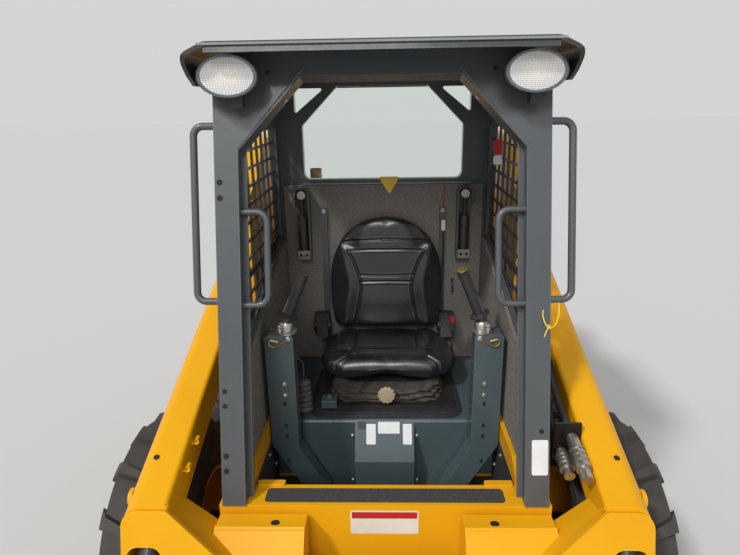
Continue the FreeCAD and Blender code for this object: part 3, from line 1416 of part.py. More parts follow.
def coupler_plate():
    """The quick coupler: face plate with windows, hook edge, lower ledge and the ears on its pivots."""
    body = add_body("coupler_plate")
    half = S.plate_half
    pad(body, "XZ", S.plate_y, S.plate_thick,
        [round_box_loop(-half, half, S.plate_low_z, S.plate_top_z, 20)])
    windows = [round_box_loop(low, high, 190, 380, 30) for low, high in ((-470, -190), (-140, 140), (190, 470))]
    for window in windows:
        pocket(body, "XZ", S.plate_y - 5, S.plate_thick + 10, [window])
    for side in SIDES:
        low, high = side_span(side, S.arm_in_x - 10, half + 5)
        notch = box_loop(low, low + high, S.plate_notch_z, S.plate_top_z + 5)
        pocket(body, "XZ", S.plate_y - 5, S.plate_thick + 10, [notch])
    hook = [(S.plate_y, S.plate_top_z - 14), (S.plate_y + 62, S.plate_top_z - 14),
            (S.plate_y + 62, S.plate_top_z - 44), (S.plate_y + 48, S.plate_top_z - 44),
            (S.plate_y + 48, S.plate_top_z - 26), (S.plate_y + 2, S.plate_top_z - 26)]
    ledge = [(S.plate_y + 2, S.plate_low_z), (S.plate_y + 60, S.plate_low_z + 8),
             (S.plate_y + 60, S.plate_low_z + 22), (S.plate_y + 2, S.plate_low_z + 20)]
    inner = S.arm_in_x - 16
    pad(body, "YZ", -inner, inner * 2, [hook])
    pad(body, "YZ", -half + 30, half * 2 - 60, [ledge])
    slot_y = S.plate_y + S.plate_thick
    for side in SIDES:
        x = S.wedge_x * side
        pocket(body, "XY", S.plate_low_z - 5, 40, [box_loop(x - S.wedge_half - 2, x + S.wedge_half + 2,
                                                          slot_y, slot_y + S.wedge_thick + 2)])
        start, width = side_span(side, S.wedge_x + 26, S.wedge_x + 80)
        pocket(body, "XY", S.plate_top_z - 60, 70, [box_loop(start, start + width, slot_y, slot_y + 34)])
    for side in SIDES:
        for inner, outer in ((S.arm_in_x + S.arm_plate + 6, S.cyl_x - S.eye_half - 4),
                             (S.cyl_x + S.eye_half + 4, S.arm_out_x - S.arm_plate - 6)):
            start, width = side_span(side, inner, outer)
            ear = [
                (S.plate_y + 2, S.plate_low_z + 60), (S.coupler_y + 20, S.coupler_z - 40, 20),
                (S.coupler_y + 42, S.coupler_z + 14, 20), (S.tilt_ear_y + 34, S.tilt_ear_z + 30, 20),
                (S.plate_y + 2, S.tilt_ear_z + 36),
            ]
            pad(body, "YZ", start, width, [ear])
        start, width = side_span(side, S.arm_in_x - 3, S.arm_out_x + 3)
        pad(body, "YZ", start, width, [("circle", S.coupler_y, S.coupler_z, S.coupler_pin_r)])
        start, width = side_span(side, S.arm_out_x + S.run_gap, S.arm_out_x + S.pin_cap)
        pad(body, "YZ", start, width, [("circle", S.coupler_y, S.coupler_z, S.coupler_pin_r + 12)])
    return body


keep(coupler_plate())


# cylinders

def cylinder_parts(name, side, base, tip, barrel_len, stroke, barrel_r, rod_r):
    """A barrel and a rod along the line from the base pin to the rod pin."""
    x = S.cyl_x * side
    run_y, run_z = tip[0] - base[0], tip[1] - base[1]
    length = root(run_y * run_y + run_z * run_z)
    turn = math.degrees(math.atan2(run_z.number, run_y.number))
    place = Placement(Vector(x.number, base[0].number, base[1].number), Rotation(Vector(1, 0, 0), turn))

    barrel = add_body(f"{name}_barrel_{side_name(side)}")
    pad(barrel, "YZ", -S.eye_half, S.eye_half * 2, [("circle", 0, 0, S.eye_r)])
    pad(barrel, "XZ", 20, S.eye_r + 10, [("circle", 0, 0, S.eye_half - 1)])
    pad(barrel, "XZ", S.eye_r + 16, barrel_len - S.eye_r - 16, [("circle", 0, 0, barrel_r)])
    pad(barrel, "XZ", barrel_len - 34, 34, [("circle", 0, 0, barrel_r + 3)])
    pocket(barrel, "XZ", S.eye_r + 20, barrel_len * 2, [("circle", 0, 0, rod_r + S.run_gap)])
    pocket(barrel, "YZ", -S.eye_half - 2, S.eye_half * 2 + 4, [("circle", 0, 0, S.pin_r + S.run_gap)])
    rod = add_body(f"{name}_rod_{side_name(side)}")
    pad(rod, "YZ", -S.eye_half, S.eye_half * 2, [("circle", length, 0, S.eye_r - 4)])
    pad(rod, "YZ", -S.eye_half - 3, S.eye_half * 2 + 6, [("circle", length, 0, S.pin_r)])
    rod_start = barrel_len - stroke - 36
    pad(rod, "XZ", rod_start, length - S.eye_r - rod_start + 12, [("circle", 0, 0, rod_r)])
    for item in (barrel, rod):
        item.Placement = place
        bind(item, "Placement.Base.x", x)
        bind(item, "Placement.Base.y", base[0])
        bind(item, "Placement.Base.z", base[1])
    return barrel, rod


for side in SIDES:
    lift = cylinder_parts("lift", side, (S.lift_base_y, S.lift_base_z), (S.lift_rod_y, S.lift_rod_z),
                          S.lift_barrel_len, S.lift_stroke, S.lift_r, S.lift_rod_r)
    tilt = cylinder_parts("tilt", side, (S.tilt_base_y, S.tilt_base_z), (S.tilt_ear_y, S.tilt_ear_z),
                          S.tilt_barrel_len, S.tilt_stroke, S.tilt_r, S.tilt_rod_r)
    for item in lift + tilt:
        keep(item)


doc.recompute()

faults = [o.Label for o in doc.Objects if "Invalid" in o.State or "Error" in o.State]
for item in NODES:
    if item.Shape.isNull() or not item.Shape.isValid() or not item.Shape.Solids:
        faults.append(item.Label)
if faults:
    raise RuntimeError("failed: " + ", ".join(sorted(set(faults))))
for item in NODES:
    item.Shape.exportStep(f"parts/{item.Label}.step")
    print(item.Label, len(item.Shape.Solids), round(item.Shape.Volume / 1000), item.Shape.BoundBox)
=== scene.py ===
import math

import bmesh
import bpy
from mathutils import Matrix, Vector


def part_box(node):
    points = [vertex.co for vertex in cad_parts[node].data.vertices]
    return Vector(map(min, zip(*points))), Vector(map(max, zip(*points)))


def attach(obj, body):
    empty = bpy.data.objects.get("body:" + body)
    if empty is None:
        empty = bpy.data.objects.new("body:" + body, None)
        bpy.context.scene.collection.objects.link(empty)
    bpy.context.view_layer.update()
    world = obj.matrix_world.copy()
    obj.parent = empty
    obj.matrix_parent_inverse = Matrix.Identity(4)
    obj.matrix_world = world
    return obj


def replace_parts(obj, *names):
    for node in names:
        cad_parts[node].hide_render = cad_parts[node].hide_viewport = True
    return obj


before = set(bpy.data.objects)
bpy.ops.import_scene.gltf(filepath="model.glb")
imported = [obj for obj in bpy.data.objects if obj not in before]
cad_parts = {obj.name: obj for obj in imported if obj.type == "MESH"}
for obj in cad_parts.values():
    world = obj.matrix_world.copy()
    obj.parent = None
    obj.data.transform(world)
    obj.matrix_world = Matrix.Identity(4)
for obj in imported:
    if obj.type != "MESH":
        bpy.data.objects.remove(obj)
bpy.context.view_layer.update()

# Camera: at the height of a standing person in front of the machine, looking down into the cab.
# Its place and angles come from the vanishing points of the posts, the roof and the threshold.
CAMERA_AT = Vector((0.0095, -2.0753, 1.78))
CAMERA_YAW, CAMERA_DOWN, CAMERA_ROLL = (math.radians(a) for a in (-1.73, 17.3, -0.958))
CAMERA_FOCAL_PIXELS = 556
PHOTO_WIDTH = 740

ahead = Vector((math.sin(CAMERA_YAW) * math.cos(CAMERA_DOWN), math.cos(CAMERA_YAW) * math.cos(CAMERA_DOWN),
                -math.sin(CAMERA_DOWN)))
level_right = Vector((math.cos(CAMERA_YAW), -math.sin(CAMERA_YAW), 0))
level_up = level_right.cross(ahead)
right = math.cos(CAMERA_ROLL) * level_right + math.sin(CAMERA_ROLL) * level_up
up = math.cos(CAMERA_ROLL) * level_up - math.sin(CAMERA_ROLL) * level_right
camera_data = bpy.data.cameras.new("Camera")
camera_data.sensor_width = 36
camera_data.lens = CAMERA_FOCAL_PIXELS * camera_data.sensor_width / PHOTO_WIDTH
camera_data.clip_start = 0.05
camera = bpy.data.objects.new("Camera", camera_data)
turn = Matrix((right, up, -ahead)).transposed().to_4x4()
camera.matrix_world = Matrix.Translation(CAMERA_AT) @ turn
bpy.context.scene.collection.objects.link(camera)
bpy.context.scene.camera = camera

# Studio: a pale floor and a pale surround of the same tone, a broad sun from the left front and a soft
# fill from the front. The surround is dim to the object, so that colours stay as they are written.
SURROUND = (0.66, 0.66, 0.655, 1)
FLOOR_COLOUR = (0.60, 0.595, 0.58, 1)
FLOOR_HALF = 60


def link(obj):
    bpy.context.scene.collection.objects.link(obj)
    return obj


def fill(socket, value):
    """Gives an input a value, or links it to a socket or to a node's first open output."""
    if isinstance(value, bpy.types.Node):
        value = next(output for output in value.outputs if not output.is_unavailable)
    if isinstance(value, bpy.types.NodeSocket):
        socket.id_data.links.new(value, socket)
    else:
        socket.default_value = value


def feed(node, **inputs):
    """Fills a node's named inputs."""
    for key, value in inputs.items():
        fill(node.inputs[key.replace("_", " ")], value)


def add_node(tree, kind, *feeds, **settings):
    """A node with its plain settings, its named inputs, and what feeds its first inputs."""
    node = tree.nodes.new(kind if "Node" in kind else "ShaderNode" + kind)
    for key, value in settings.items():
        if hasattr(node, key):
            setattr(node, key, value)
        else:
            feed(node, **{key: value})
    for socket, value in zip(node.inputs, feeds):
        fill(socket, value)
    return node


def new_material(name):
    """A node material, its shader, and the function that adds nodes to it."""
    material = bpy.data.materials.new(name)
    material.use_nodes = True
    tree = material.node_tree

    def node(kind, *feeds, **settings):
        return add_node(tree, kind, *feeds, **settings)

    return material, tree.nodes["Principled BSDF"], node


bpy.context.scene.view_settings.view_transform = "Standard"
world = bpy.data.worlds.new("Surround")
bpy.context.scene.world = world
world.use_nodes = True
sky = world.node_tree
sky_light = sky.nodes["Background"]
feed(sky_light, Color=(0.86, 0.88, 0.92, 1), Strength=0.50)
sky_seen = add_node(sky, "Background", Color=SURROUND, Strength=1.0)
rays = add_node(sky, "LightPath").outputs
sky_either = add_node(sky, "Math", rays["Is Camera Ray"], rays["Is Transmission Ray"], operation="MAXIMUM")
sky_any = add_node(sky, "Math", sky_either, rays["Is Glossy Ray"], operation="MAXIMUM")
feed(sky.nodes["World Output"], Surface=add_node(sky, "MixShader", sky_any, sky_light, sky_seen))

floor_corners = [(x * FLOOR_HALF, y * FLOOR_HALF, 0) for x, y in ((-1, -1), (1, -1), (1, 1), (-1, 1))]
floor_mesh = bpy.data.meshes.new("floor")
floor_mesh.from_pydata(floor_corners, [], [(0, 1, 2, 3)])
floor = link(bpy.data.objects.new("floor", floor_mesh))
floor_paint, floor_shader, _ = new_material("floor")
feed(floor_shader, Base_Color=FLOOR_COLOUR, Roughness=0.9)
floor_mesh.materials.append(floor_paint)


def sun_lamp(name, toward, angle, strength):
    data = bpy.data.lights.new(name, "SUN")
    data.angle = math.radians(angle)
    data.energy = strength
    lamp = link(bpy.data.objects.new(name, data))
    lamp.matrix_world = Vector(toward).to_track_quat("-Z", "Y").to_matrix().to_4x4()


sun_lamp("sun", (0.55, 0.62, -0.85), 6, 1.9)
sun_lamp("front fill", (0.10, 0.76, -0.56), 20, 0.95)

# Painted steel: the main frame, uprights, boom and doors in golden yellow, sprayed over welded plate.
# The paint has a slight orange peel, a little dust low down and paler, worn edges.
DUST = (0.22, 0.17, 0.11, 1)
DUST_TOP, DUST_FULL = 0.75, 0.15
EDGE_ANGLE = math.radians(32)


def painted(name, colour, dark, roughness, dust=0.25, coat=0.25, edge=None, shine=0.5):
    material, shader, node = new_material(name)
    place = node("TexCoord").outputs["Object"]
    patches = node("TexNoise", place, Scale=3.1, Detail=4.0, Roughness=0.55)
    spread = node("MapRange", patches, From_Min=0.42, From_Max=0.72, To_Max=0.5)
    tint = node("Mix", data_type="RGBA", Factor=spread, A=(*colour, 1), B=(*dark, 1))
    height = node("SeparateXYZ", place).outputs["Z"]
    low = node("MapRange", height, From_Min=DUST_TOP, From_Max=DUST_FULL, To_Max=dust)
    speck = node("TexNoise", place, Scale=38.0, Detail=6.0, Roughness=0.7)
    dirt = node("Math", low, speck, operation="MULTIPLY")
    paint = node("Mix", data_type="RGBA", Factor=dirt, A=tint, B=DUST)
    if edge:
        bevel = node("Bevel", samples=4, Radius=0.004)
        facing_way = node("NewGeometry").outputs["Normal"]
        dot = node("VectorMath", bevel, facing_way, operation="DOT_PRODUCT")
        sharp = node("MapRange", dot, From_Min=0.985, From_Max=0.86, To_Max=0.6)
        paint = node("Mix", data_type="RGBA", Factor=sharp, A=paint, B=(*edge, 1))
    gloss = node("MapRange", speck, From_Min=0.3, From_Max=0.7, To_Min=roughness - 0.06,
                 To_Max=roughness + 0.12)
    peel = node("TexNoise", place, Scale=420.0, Detail=2.0)
    bump = node("Bump", Strength=0.05, Distance=0.001, Height=peel)
    feed(shader, Base_Color=paint, Roughness=gloss, Coat_Weight=coat, Coat_Roughness=0.12,
         Specular_IOR_Level=shine, Normal=bump)
    return material


def round_edges(obj, width, segments):
    edge = obj.modifiers.new("edges", "BEVEL")
    edge.width = width
    edge.segments = segments
    edge.limit_method = "ANGLE"
    edge.angle_limit = EDGE_ANGLE
    edge.harden_normals = True


def finish_nodes(names, material, width=0.0):
    """Gives CAD nodes a material and small rounded edges."""
    for name in names:
        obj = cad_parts[name]
        obj.data.materials.clear()
        obj.data.materials.append(material)
        if width:
            round_edges(obj, width, 2)


yellow = painted("yellow_paint", (0.80, 0.385, 0.006), (0.70, 0.315, 0.005), 0.36, dust=0.12, coat=0.03,
                 edge=(0.90, 0.50, 0.03), shine=0.16)
finish_nodes(["chassis_tub", "upright_left", "upright_right", "boom_arm_left", "boom_arm_right",
              "boom_pivot_bosses", "boom_cross", "hood", "rear_deck", "rear_door"], yellow, 0.0022)

# Cab: welded tube and sheet in satin slate grey, with the edges worn a little brighter. The handles are
# bent round bar, welded to the posts.
grey = painted("grey_paint", (0.074, 0.081, 0.085), (0.056, 0.062, 0.066), 0.40, dust=0.15,
               edge=(0.20, 0.22, 0.23))
finish_nodes(["cab_front_frame", "cab_side_left", "cab_side_right", "cab_rear_frame"], grey, 0.0015)
finish_nodes(["grab_handles"], grey)

# Roof: charcoal satin sheet, pressed with a brow and skirts and welded on the posts.
charcoal = painted("roof_paint", (0.030, 0.032, 0.034), (0.022, 0.024, 0.026), 0.42, dust=0.05,
                   edge=(0.12, 0.12, 0.12))
finish_nodes(["cab_roof"], charcoal, 0.0015)

# Inside metalwork: the seat box, console and control towers in a darker blue-green grey. Folded sheet,
# bolted into the cab.
teal = painted("teal_paint", (0.068, 0.098, 0.108), (0.050, 0.075, 0.083), 0.38, dust=0.1,
               edge=(0.16, 0.20, 0.21))
finish_nodes(["seat_box", "control_towers"], teal, 0.0015)

# Black painted steel: axle housings, coupler, hinges, the screens' welded rods, seat suspension and the
# cylinders' barrels. Cast or welded, with dust low down.
black = painted("black_paint", (0.018, 0.018, 0.019), (0.013, 0.013, 0.013), 0.42, dust=0.35,
                edge=(0.07, 0.07, 0.07))
finish_nodes(["axle_housings", "door_hinges", "coupler_plate", "seat_suspension", "cab_struts",
              "lift_barrel_left", "lift_barrel_right", "tilt_barrel_left", "tilt_barrel_right"],
             black, 0.0015)
finish_nodes(["side_screen_left", "side_screen_right"], black)


# Mottled stuff: one recipe for cast iron, plastic, rubber, zinc, felt and tape, with two tones of noise,
# a finer bump and its own gloss. The couplers' bracket is darker behind their sleeves.
def mottled(name, colour, second, scale, roughness, metallic=0.0, bump=0.2, grain=300.0, depth=0.001,
            spread=0.2):
    material, shader, node = new_material(name)
    place = node("TexCoord").outputs["Object"]
    noise = node("TexNoise", place, Scale=scale, Detail=5.0, Roughness=0.6)
    share = node("MapRange", noise, From_Min=0.5 - spread, From_Max=0.5 + spread)
    tone = node("Mix", data_type="RGBA", Factor=share, A=(*colour, 1), B=(*second, 1))
    gloss = node("MapRange", noise, To_Min=roughness - 0.05, To_Max=roughness + 0.08)
    fine = node("TexNoise", place, Scale=grain, Detail=3.0)
    relief = node("Bump", Strength=bump, Distance=depth, Height=fine)
    feed(shader, Base_Color=tone, Roughness=gloss, Metallic=metallic, Normal=relief)
    return material


iron = mottled("cast_iron", (0.085, 0.08, 0.075), (0.05, 0.045, 0.04), 14, 0.6, metallic=0.6, bump=0.4)
rusted = mottled("exhaust_steel", (0.30, 0.29, 0.27), (0.16, 0.12, 0.09), 22, 0.5, metallic=0.8, bump=0.3)
chrome = mottled("rod_chrome", (0.82, 0.83, 0.84), (0.72, 0.73, 0.75), 6, 0.10, metallic=1.0, bump=0.02)
zinc = mottled("zinc_steel", (0.56, 0.54, 0.50), (0.40, 0.37, 0.32), 30, 0.34, metallic=0.9, bump=0.15)
coupler_steel = mottled("coupler_steel", (0.50, 0.48, 0.45), (0.33, 0.30, 0.26), 34, 0.32, metallic=0.9,
                        bump=0.15)
BRACKET_FRONT = -0.7130
coupler_tree = coupler_steel.node_tree
coupler_shader = coupler_tree.nodes["Principled BSDF"]
coupler_place = add_node(coupler_tree, "TexCoord").outputs["Object"]
coupler_depth = add_node(coupler_tree, "SeparateXYZ", coupler_place).outputs["Y"]
behind = add_node(coupler_tree, "MapRange", coupler_depth, From_Min=BRACKET_FRONT,
                  From_Max=BRACKET_FRONT + 0.001)
bright = coupler_shader.inputs["Base Color"].links[0].from_socket
feed(coupler_shader, Base_Color=add_node(coupler_tree, "Mix", data_type="RGBA", Factor=behind, A=bright,
                                         B=(0.035, 0.034, 0.033, 1)))
plastic = mottled("black_plastic", (0.022, 0.022, 0.024), (0.034, 0.034, 0.036), 45, 0.48, bump=0.3,
                  grain=500)
felt = mottled("foam_liner", (0.105, 0.095, 0.085), (0.32, 0.288, 0.256), 260, 0.9, bump=0.7, grain=420,
               depth=0.002, spread=0.12)
red_lens = mottled("lamp_red", (0.42, 0.010, 0.010), (0.30, 0.006, 0.006), 60, 0.15, bump=0.3, grain=160)
finish_nodes(["engine_block"], iron)
finish_nodes(["exhaust_pipe"], rusted)
finish_nodes(["lift_rod_left", "lift_rod_right", "tilt_rod_left", "tilt_rod_right"], chrome)
finish_nodes(["coupler_levers"], zinc)
finish_nodes(["quick_couplers"], coupler_steel)
finish_nodes(["cab_liners"], felt, 0.004)
finish_nodes(["tail_lamps"], red_lens, 0.002)

# Wheels: black tyres with moulded rings on the walls and dust on the lugs, painted steel rims.
# The rings follow the distance from each axle.
AXLE_HEIGHT = 0.392
RINGS_PER_METRE = 260.0
RING_EDGE = 0.318


def tyre_rubber(name, axle_y):
    material, shader, node = new_material(name)
    place = node("TexCoord").outputs["Object"]
    parts = node("SeparateXYZ", place).outputs
    along = node("Math", parts["Y"], axle_y, operation="SUBTRACT")
    upward = node("Math", parts["Z"], AXLE_HEIGHT, operation="SUBTRACT")
    reach = node("VectorMath", node("CombineXYZ", along, upward), operation="LENGTH")
    rings = node("Math", node("Math", reach, RINGS_PER_METRE, operation="MULTIPLY"), operation="SINE")
    band = node("MapRange", reach, From_Min=RING_EDGE, From_Max=0.310)
    height = node("Math", rings, band, operation="MULTIPLY")
    noise = node("TexNoise", place, Scale=26.0, Detail=6.0, Roughness=0.65)
    outer = node("MapRange", reach, From_Min=0.30, From_Max=0.40, To_Min=0.15, To_Max=0.55)
    dust = node("Math", outer, noise, operation="MULTIPLY")
    tone = node("Mix", data_type="RGBA", Factor=dust, A=(0.018, 0.018, 0.018, 1), B=(0.115, 0.095, 0.075, 1))
    moulded = node("Bump", Strength=0.5, Distance=0.002, Height=height)
    rough = node("Bump", Strength=0.35, Distance=0.0015, Height=noise, Normal=moulded)
    feed(shader, Base_Color=tone, Roughness=0.72, Normal=rough)
    return material


for end, axle_y in (("front", -0.52), ("rear", 0.48)):
    rubber = tyre_rubber("tyre_rubber_" + end, axle_y)
    finish_nodes([f"tyre_{end}_left", f"tyre_{end}_right"], rubber, 0.003)
    finish_nodes([f"rim_{end}_left", f"rim_{end}_right"], yellow)

# Rear window: a clear flat pane, faintly green and slightly smeared, bonded into the rear frame.
# Its index is close to air's, so that the view through it isn't bent.
glass, glass_shader, node = new_material("pane")
smear = node("TexNoise", node("TexCoord").outputs["Object"], Scale=9.0, Detail=3.0)
gloss = node("MapRange", smear, From_Min=0.35, From_Max=0.75, To_Min=0.01, To_Max=0.06)
feed(glass_shader, Base_Color=(0.90, 0.97, 0.93, 1), Transmission_Weight=1.0, IOR=1.02, Roughness=gloss)
finish_nodes(["rear_window"], glass)


# Threshold and step: dark grit tape, stuck down with rounded corners, and low yellow end tabs.
# Each strip is a thin sheet that lies 0.2 mm off the steel.
def to_mesh(mesh_data, name):
    mesh = bpy.data.meshes.new(name)
    mesh_data.to_mesh(mesh)
    mesh_data.free()
    return mesh


def finish_piece(name, mesh_data, material, bevel=0.0, segments=2, smooth_angle=38, body="chassis"):
    """Turns a bmesh into a piece with a material on a body."""
    bmesh.ops.recalc_face_normals(mesh_data, faces=mesh_data.faces)
    mesh = to_mesh(mesh_data, name)
    mesh.shade_smooth()
    mesh.set_sharp_from_angle(angle=math.radians(smooth_angle))
    obj = link(bpy.data.objects.new(name, mesh))
    mesh.materials.append(material)
    if bevel:
        round_edges(obj, bevel, segments)
    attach(obj, body)
    return obj


def made(add, *rows):
    """A bmesh with one shape for each row of values."""
    mesh_data = bmesh.new()
    for row in rows:
        add(mesh_data, *row)
    return mesh_data


def add_box(mesh_data, low, high):
    corners = [mesh_data.verts.new((x, y, z)) for z in (low[2], high[2]) for y in (low[1], high[1])
               for x in (low[0], high[0])]
    for face in ((0, 2, 3, 1), (4, 5, 7, 6), (0, 1, 5, 4), (2, 6, 7, 3), (0, 4, 6, 2), (1, 3, 7, 5)):
        mesh_data.faces.new([corners[i] for i in face])


def add_loops(mesh_data, loops):
    """A closed skin through loops of points."""
    rows = [[mesh_data.verts.new(point) for point in loop] for loop in loops]
    sides = len(rows[0])
    for before, after in zip(rows, rows[1:]):
        for i in range(sides):
            j = (i + 1) % sides
            mesh_data.faces.new([before[i], before[j], after[j], after[i]])
    mesh_data.faces.new(list(reversed(rows[0])))
    mesh_data.faces.new(rows[-1])


def add_plate(mesh_data, outline, place, thickness):
    """A flat plate from an outline in the plane of a matrix, grown along that matrix's Z."""
    add_loops(mesh_data, [[place @ Vector((x, y, level)) for x, y in outline] for level in (0, thickness)])


def rounded(x0, x1, y0, y1, radius, steps=5):
    """The outline of a rectangle with round corners."""
    outline = []
    for cx, cy, first in ((x1 - radius, y0 + radius, -90), (x1 - radius, y1 - radius, 0),
                          (x0 + radius, y1 - radius, 90), (x0 + radius, y0 + radius, 180)):
        for step in range(steps + 1):
            angle = math.radians(first + 90 * step / steps)
            outline.append((cx + radius * math.cos(angle), cy + radius * math.sin(angle)))
    return outline


TAPE = 0.0014
on_threshold, on_step = Matrix.Translation((0, 0, 0.7202)), Matrix.Translation((0, 0, 0.5802))
grit = mottled("grit_tape", (0.030, 0.030, 0.031), (0.075, 0.072, 0.068), 190, 0.85, bump=0.9, grain=900,
               depth=0.0012, spread=0.16)
tape = made(add_plate, (rounded(-0.337, 0.337, -0.783, -0.724, 0.012), on_threshold, TAPE))
finish_piece("threshold_tape", tape, grit, 0.0005, 1)
tape = made(add_plate, (rounded(-0.175, 0.175, -0.965, -0.895, 0.012), on_step, TAPE))
finish_piece("step_tape", tape, grit, 0.0005, 1, body="boom")
tabs = made(add_plate, *((rounded(x0, x1, -0.716, -0.692, 0.006), on_threshold, 0.006)
                         for x0, x1 in ((-0.372, -0.290), (0.290, 0.372))))
finish_piece("threshold_tabs", tabs, yellow, 0.0015)

# Blank plates: a cream plate with a red band under the threshold and a white one low on the left post.
# They are thin sheets, stuck on, and carry no words.
POST_RAKE = math.radians(14.1)
POST_FOOT = (-0.80, 0.72)


def on_post(x, height, off=0.0):
    """A place on the front face of the cab's raked posts, its Z pointing out of the face."""
    y = POST_FOOT[0] + (height - POST_FOOT[1]) * math.tan(POST_RAKE)
    turn = Matrix.Rotation(math.pi / 2 - POST_RAKE, 4, "X")
    return Matrix.Translation((x, y - off * math.cos(POST_RAKE), height + off * math.sin(POST_RAKE))) @ turn


def facing_front(y):
    """A place whose plane is X and Z and whose Z points to the front."""
    return Matrix.Translation((0, y, 0)) @ Matrix.Rotation(math.pi / 2, 4, "X")


cream = mottled("cream_plate", (0.78, 0.75, 0.66), (0.70, 0.66, 0.56), 12, 0.35, bump=0.05)
white = mottled("white_plate", (0.80, 0.80, 0.80), (0.68, 0.68, 0.67), 16, 0.38, bump=0.05)
signal_red = mottled("red_band", (0.55, 0.020, 0.020), (0.46, 0.016, 0.016), 18, 0.35, bump=0.05)
plate = made(add_plate, (rounded(-0.095, 0.095, 0.626, 0.703, 0.004), facing_front(-0.7952), 0.0008))
finish_piece("front_plate", plate, cream)
plate = made(add_plate, (rounded(-0.091, 0.091, 0.678, 0.699, 0.002), facing_front(-0.7962), 0.0003))
finish_piece("front_plate_band", plate, signal_red)
plate = made(add_plate, (rounded(-0.022, 0.022, -0.049, 0.049, 0.005), on_post(0.424, 0.855, 0.0003), 0.0008))
finish_piece("post_plate", plate, white)

# Holes in the cab's front frame: drilled in the right post, one over the left post's plate and two under
# the roof. Each is a dark disc of painted shade, standing for the hole's dark inside, less than a millimetre
# off the paint.
# Near-black: painted shade inside the holes, and also the dark heads of the strut screws.
dark_hole = mottled("dark_hole", (0.006, 0.006, 0.007), (0.012, 0.012, 0.013), 60, 0.8, bump=0.1)
POST_HOLES = ((-0.436, 1.586, 0.007), (-0.436, 1.545, 0.007), (-0.436, 1.033, 0.006), (-0.436, 0.993, 0.006),
              (-0.436, 0.857, 0.007), (-0.436, 0.816, 0.007), (0.428, 0.925, 0.006), (-0.30, 1.865, 0.005),
              (0.30, 1.865, 0.005))


def add_turned(mesh_data, place, profile, sides=16, stretch=1.0):
    """A closed turned shape about a matrix's Z, from (radius, height) pairs."""
    turns = [math.tau * i / sides for i in range(sides)]
    add_loops(mesh_data, [[place @ Vector((radius * math.cos(a), radius * stretch * math.sin(a), height))
                           for a in turns] for radius, height in profile])


holes = made(add_turned, *((on_post(x, height, 0.0002), ((radius * 1.15, 0), (radius * 1.15, 0.0006)), 20)
                           for x, height, radius in POST_HOLES))
finish_piece("post_holes", holes, dark_hole)


# Bolt heads: copies of one flanged hexagon head in zinced steel, set by Geometry Nodes on their places
# and turned so that they stand out of the face that carries them.
def bolt_head():
    head = made(add_turned, (Matrix.Identity(4), ((0.0085, 0), (0.0085, 0.0012), (0.0068, 0.0020)), 18),
                (Matrix.Translation((0, 0, 0.0019)), ((0.0058, 0), (0.0058, 0.0040), (0.0048, 0.0048)), 6))
    return link(bpy.data.objects.new("bolt_head", to_mesh(head, "bolt_head")))


def applied(obj):
    """Applies what is on an object to its mesh."""
    bpy.context.view_layer.update()
    mesh = bpy.data.meshes.new_from_object(obj.evaluated_get(bpy.context.evaluated_depsgraph_get()))
    obj.modifiers.clear()
    obj.data = mesh
    return mesh


def repeated(name, template, places, material, body="chassis"):
    """Copies of a small object at matrices, by Geometry Nodes, as one plain mesh."""
    mesh = bpy.data.meshes.new(name)
    mesh.from_pydata([tuple(place.translation) for place in places], [], [])
    mesh.attributes.new("turn", "FLOAT_VECTOR", "POINT")
    mesh.attributes.new("grow", "FLOAT", "POINT")
    for i, place in enumerate(places):
        mesh.attributes["turn"].data[i].vector = place.to_euler()
        mesh.attributes["grow"].data[i].value = place.to_scale()[0]
    carrier = link(bpy.data.objects.new(name, mesh))
    tree = bpy.data.node_groups.new(name + "_copies", "GeometryNodeTree")
    tree.interface.new_socket("Places", in_out="INPUT", socket_type="NodeSocketGeometry")
    shape = tree.interface.new_socket("Shape", in_out="INPUT", socket_type="NodeSocketObject")
    tree.interface.new_socket("Copies", in_out="OUTPUT", socket_type="NodeSocketGeometry")
    source = add_node(tree, "NodeGroupInput").outputs
    info = add_node(tree, "GeometryNodeObjectInfo", Object=source["Shape"])
    turn = add_node(tree, "GeometryNodeInputNamedAttribute", data_type="FLOAT_VECTOR", Name="turn")
    grow = add_node(tree, "GeometryNodeInputNamedAttribute", data_type="FLOAT", Name="grow")
    angles = add_node(tree, "FunctionNodeEulerToRotation", turn)
    copies = add_node(tree, "GeometryNodeInstanceOnPoints", source["Places"], Scale=grow, Rotation=angles,
                      Instance=info.outputs["Geometry"])
    real = add_node(tree, "GeometryNodeRealizeInstances", copies)
    paint = add_node(tree, "GeometryNodeSetMaterial", Geometry=real, Material=material)
    add_node(tree, "NodeGroupOutput", paint)
    nodes = carrier.modifiers.new("copies", "NODES")
    nodes.node_group = tree
    nodes[shape.identifier] = template
    plain = applied(carrier)
    plain.name = name
    if not plain.materials:
        plain.materials.append(material)
    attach(carrier, body)


def facing(x, y, z, direction, grow=1.0):
    """A place whose Z points along a direction, grown in scale."""
    turn = Vector(direction).to_track_quat("Z", "Y").to_matrix().to_4x4()
    return Matrix.Translation((x, y, z)) @ turn @ Matrix.Scale(grow, 4)


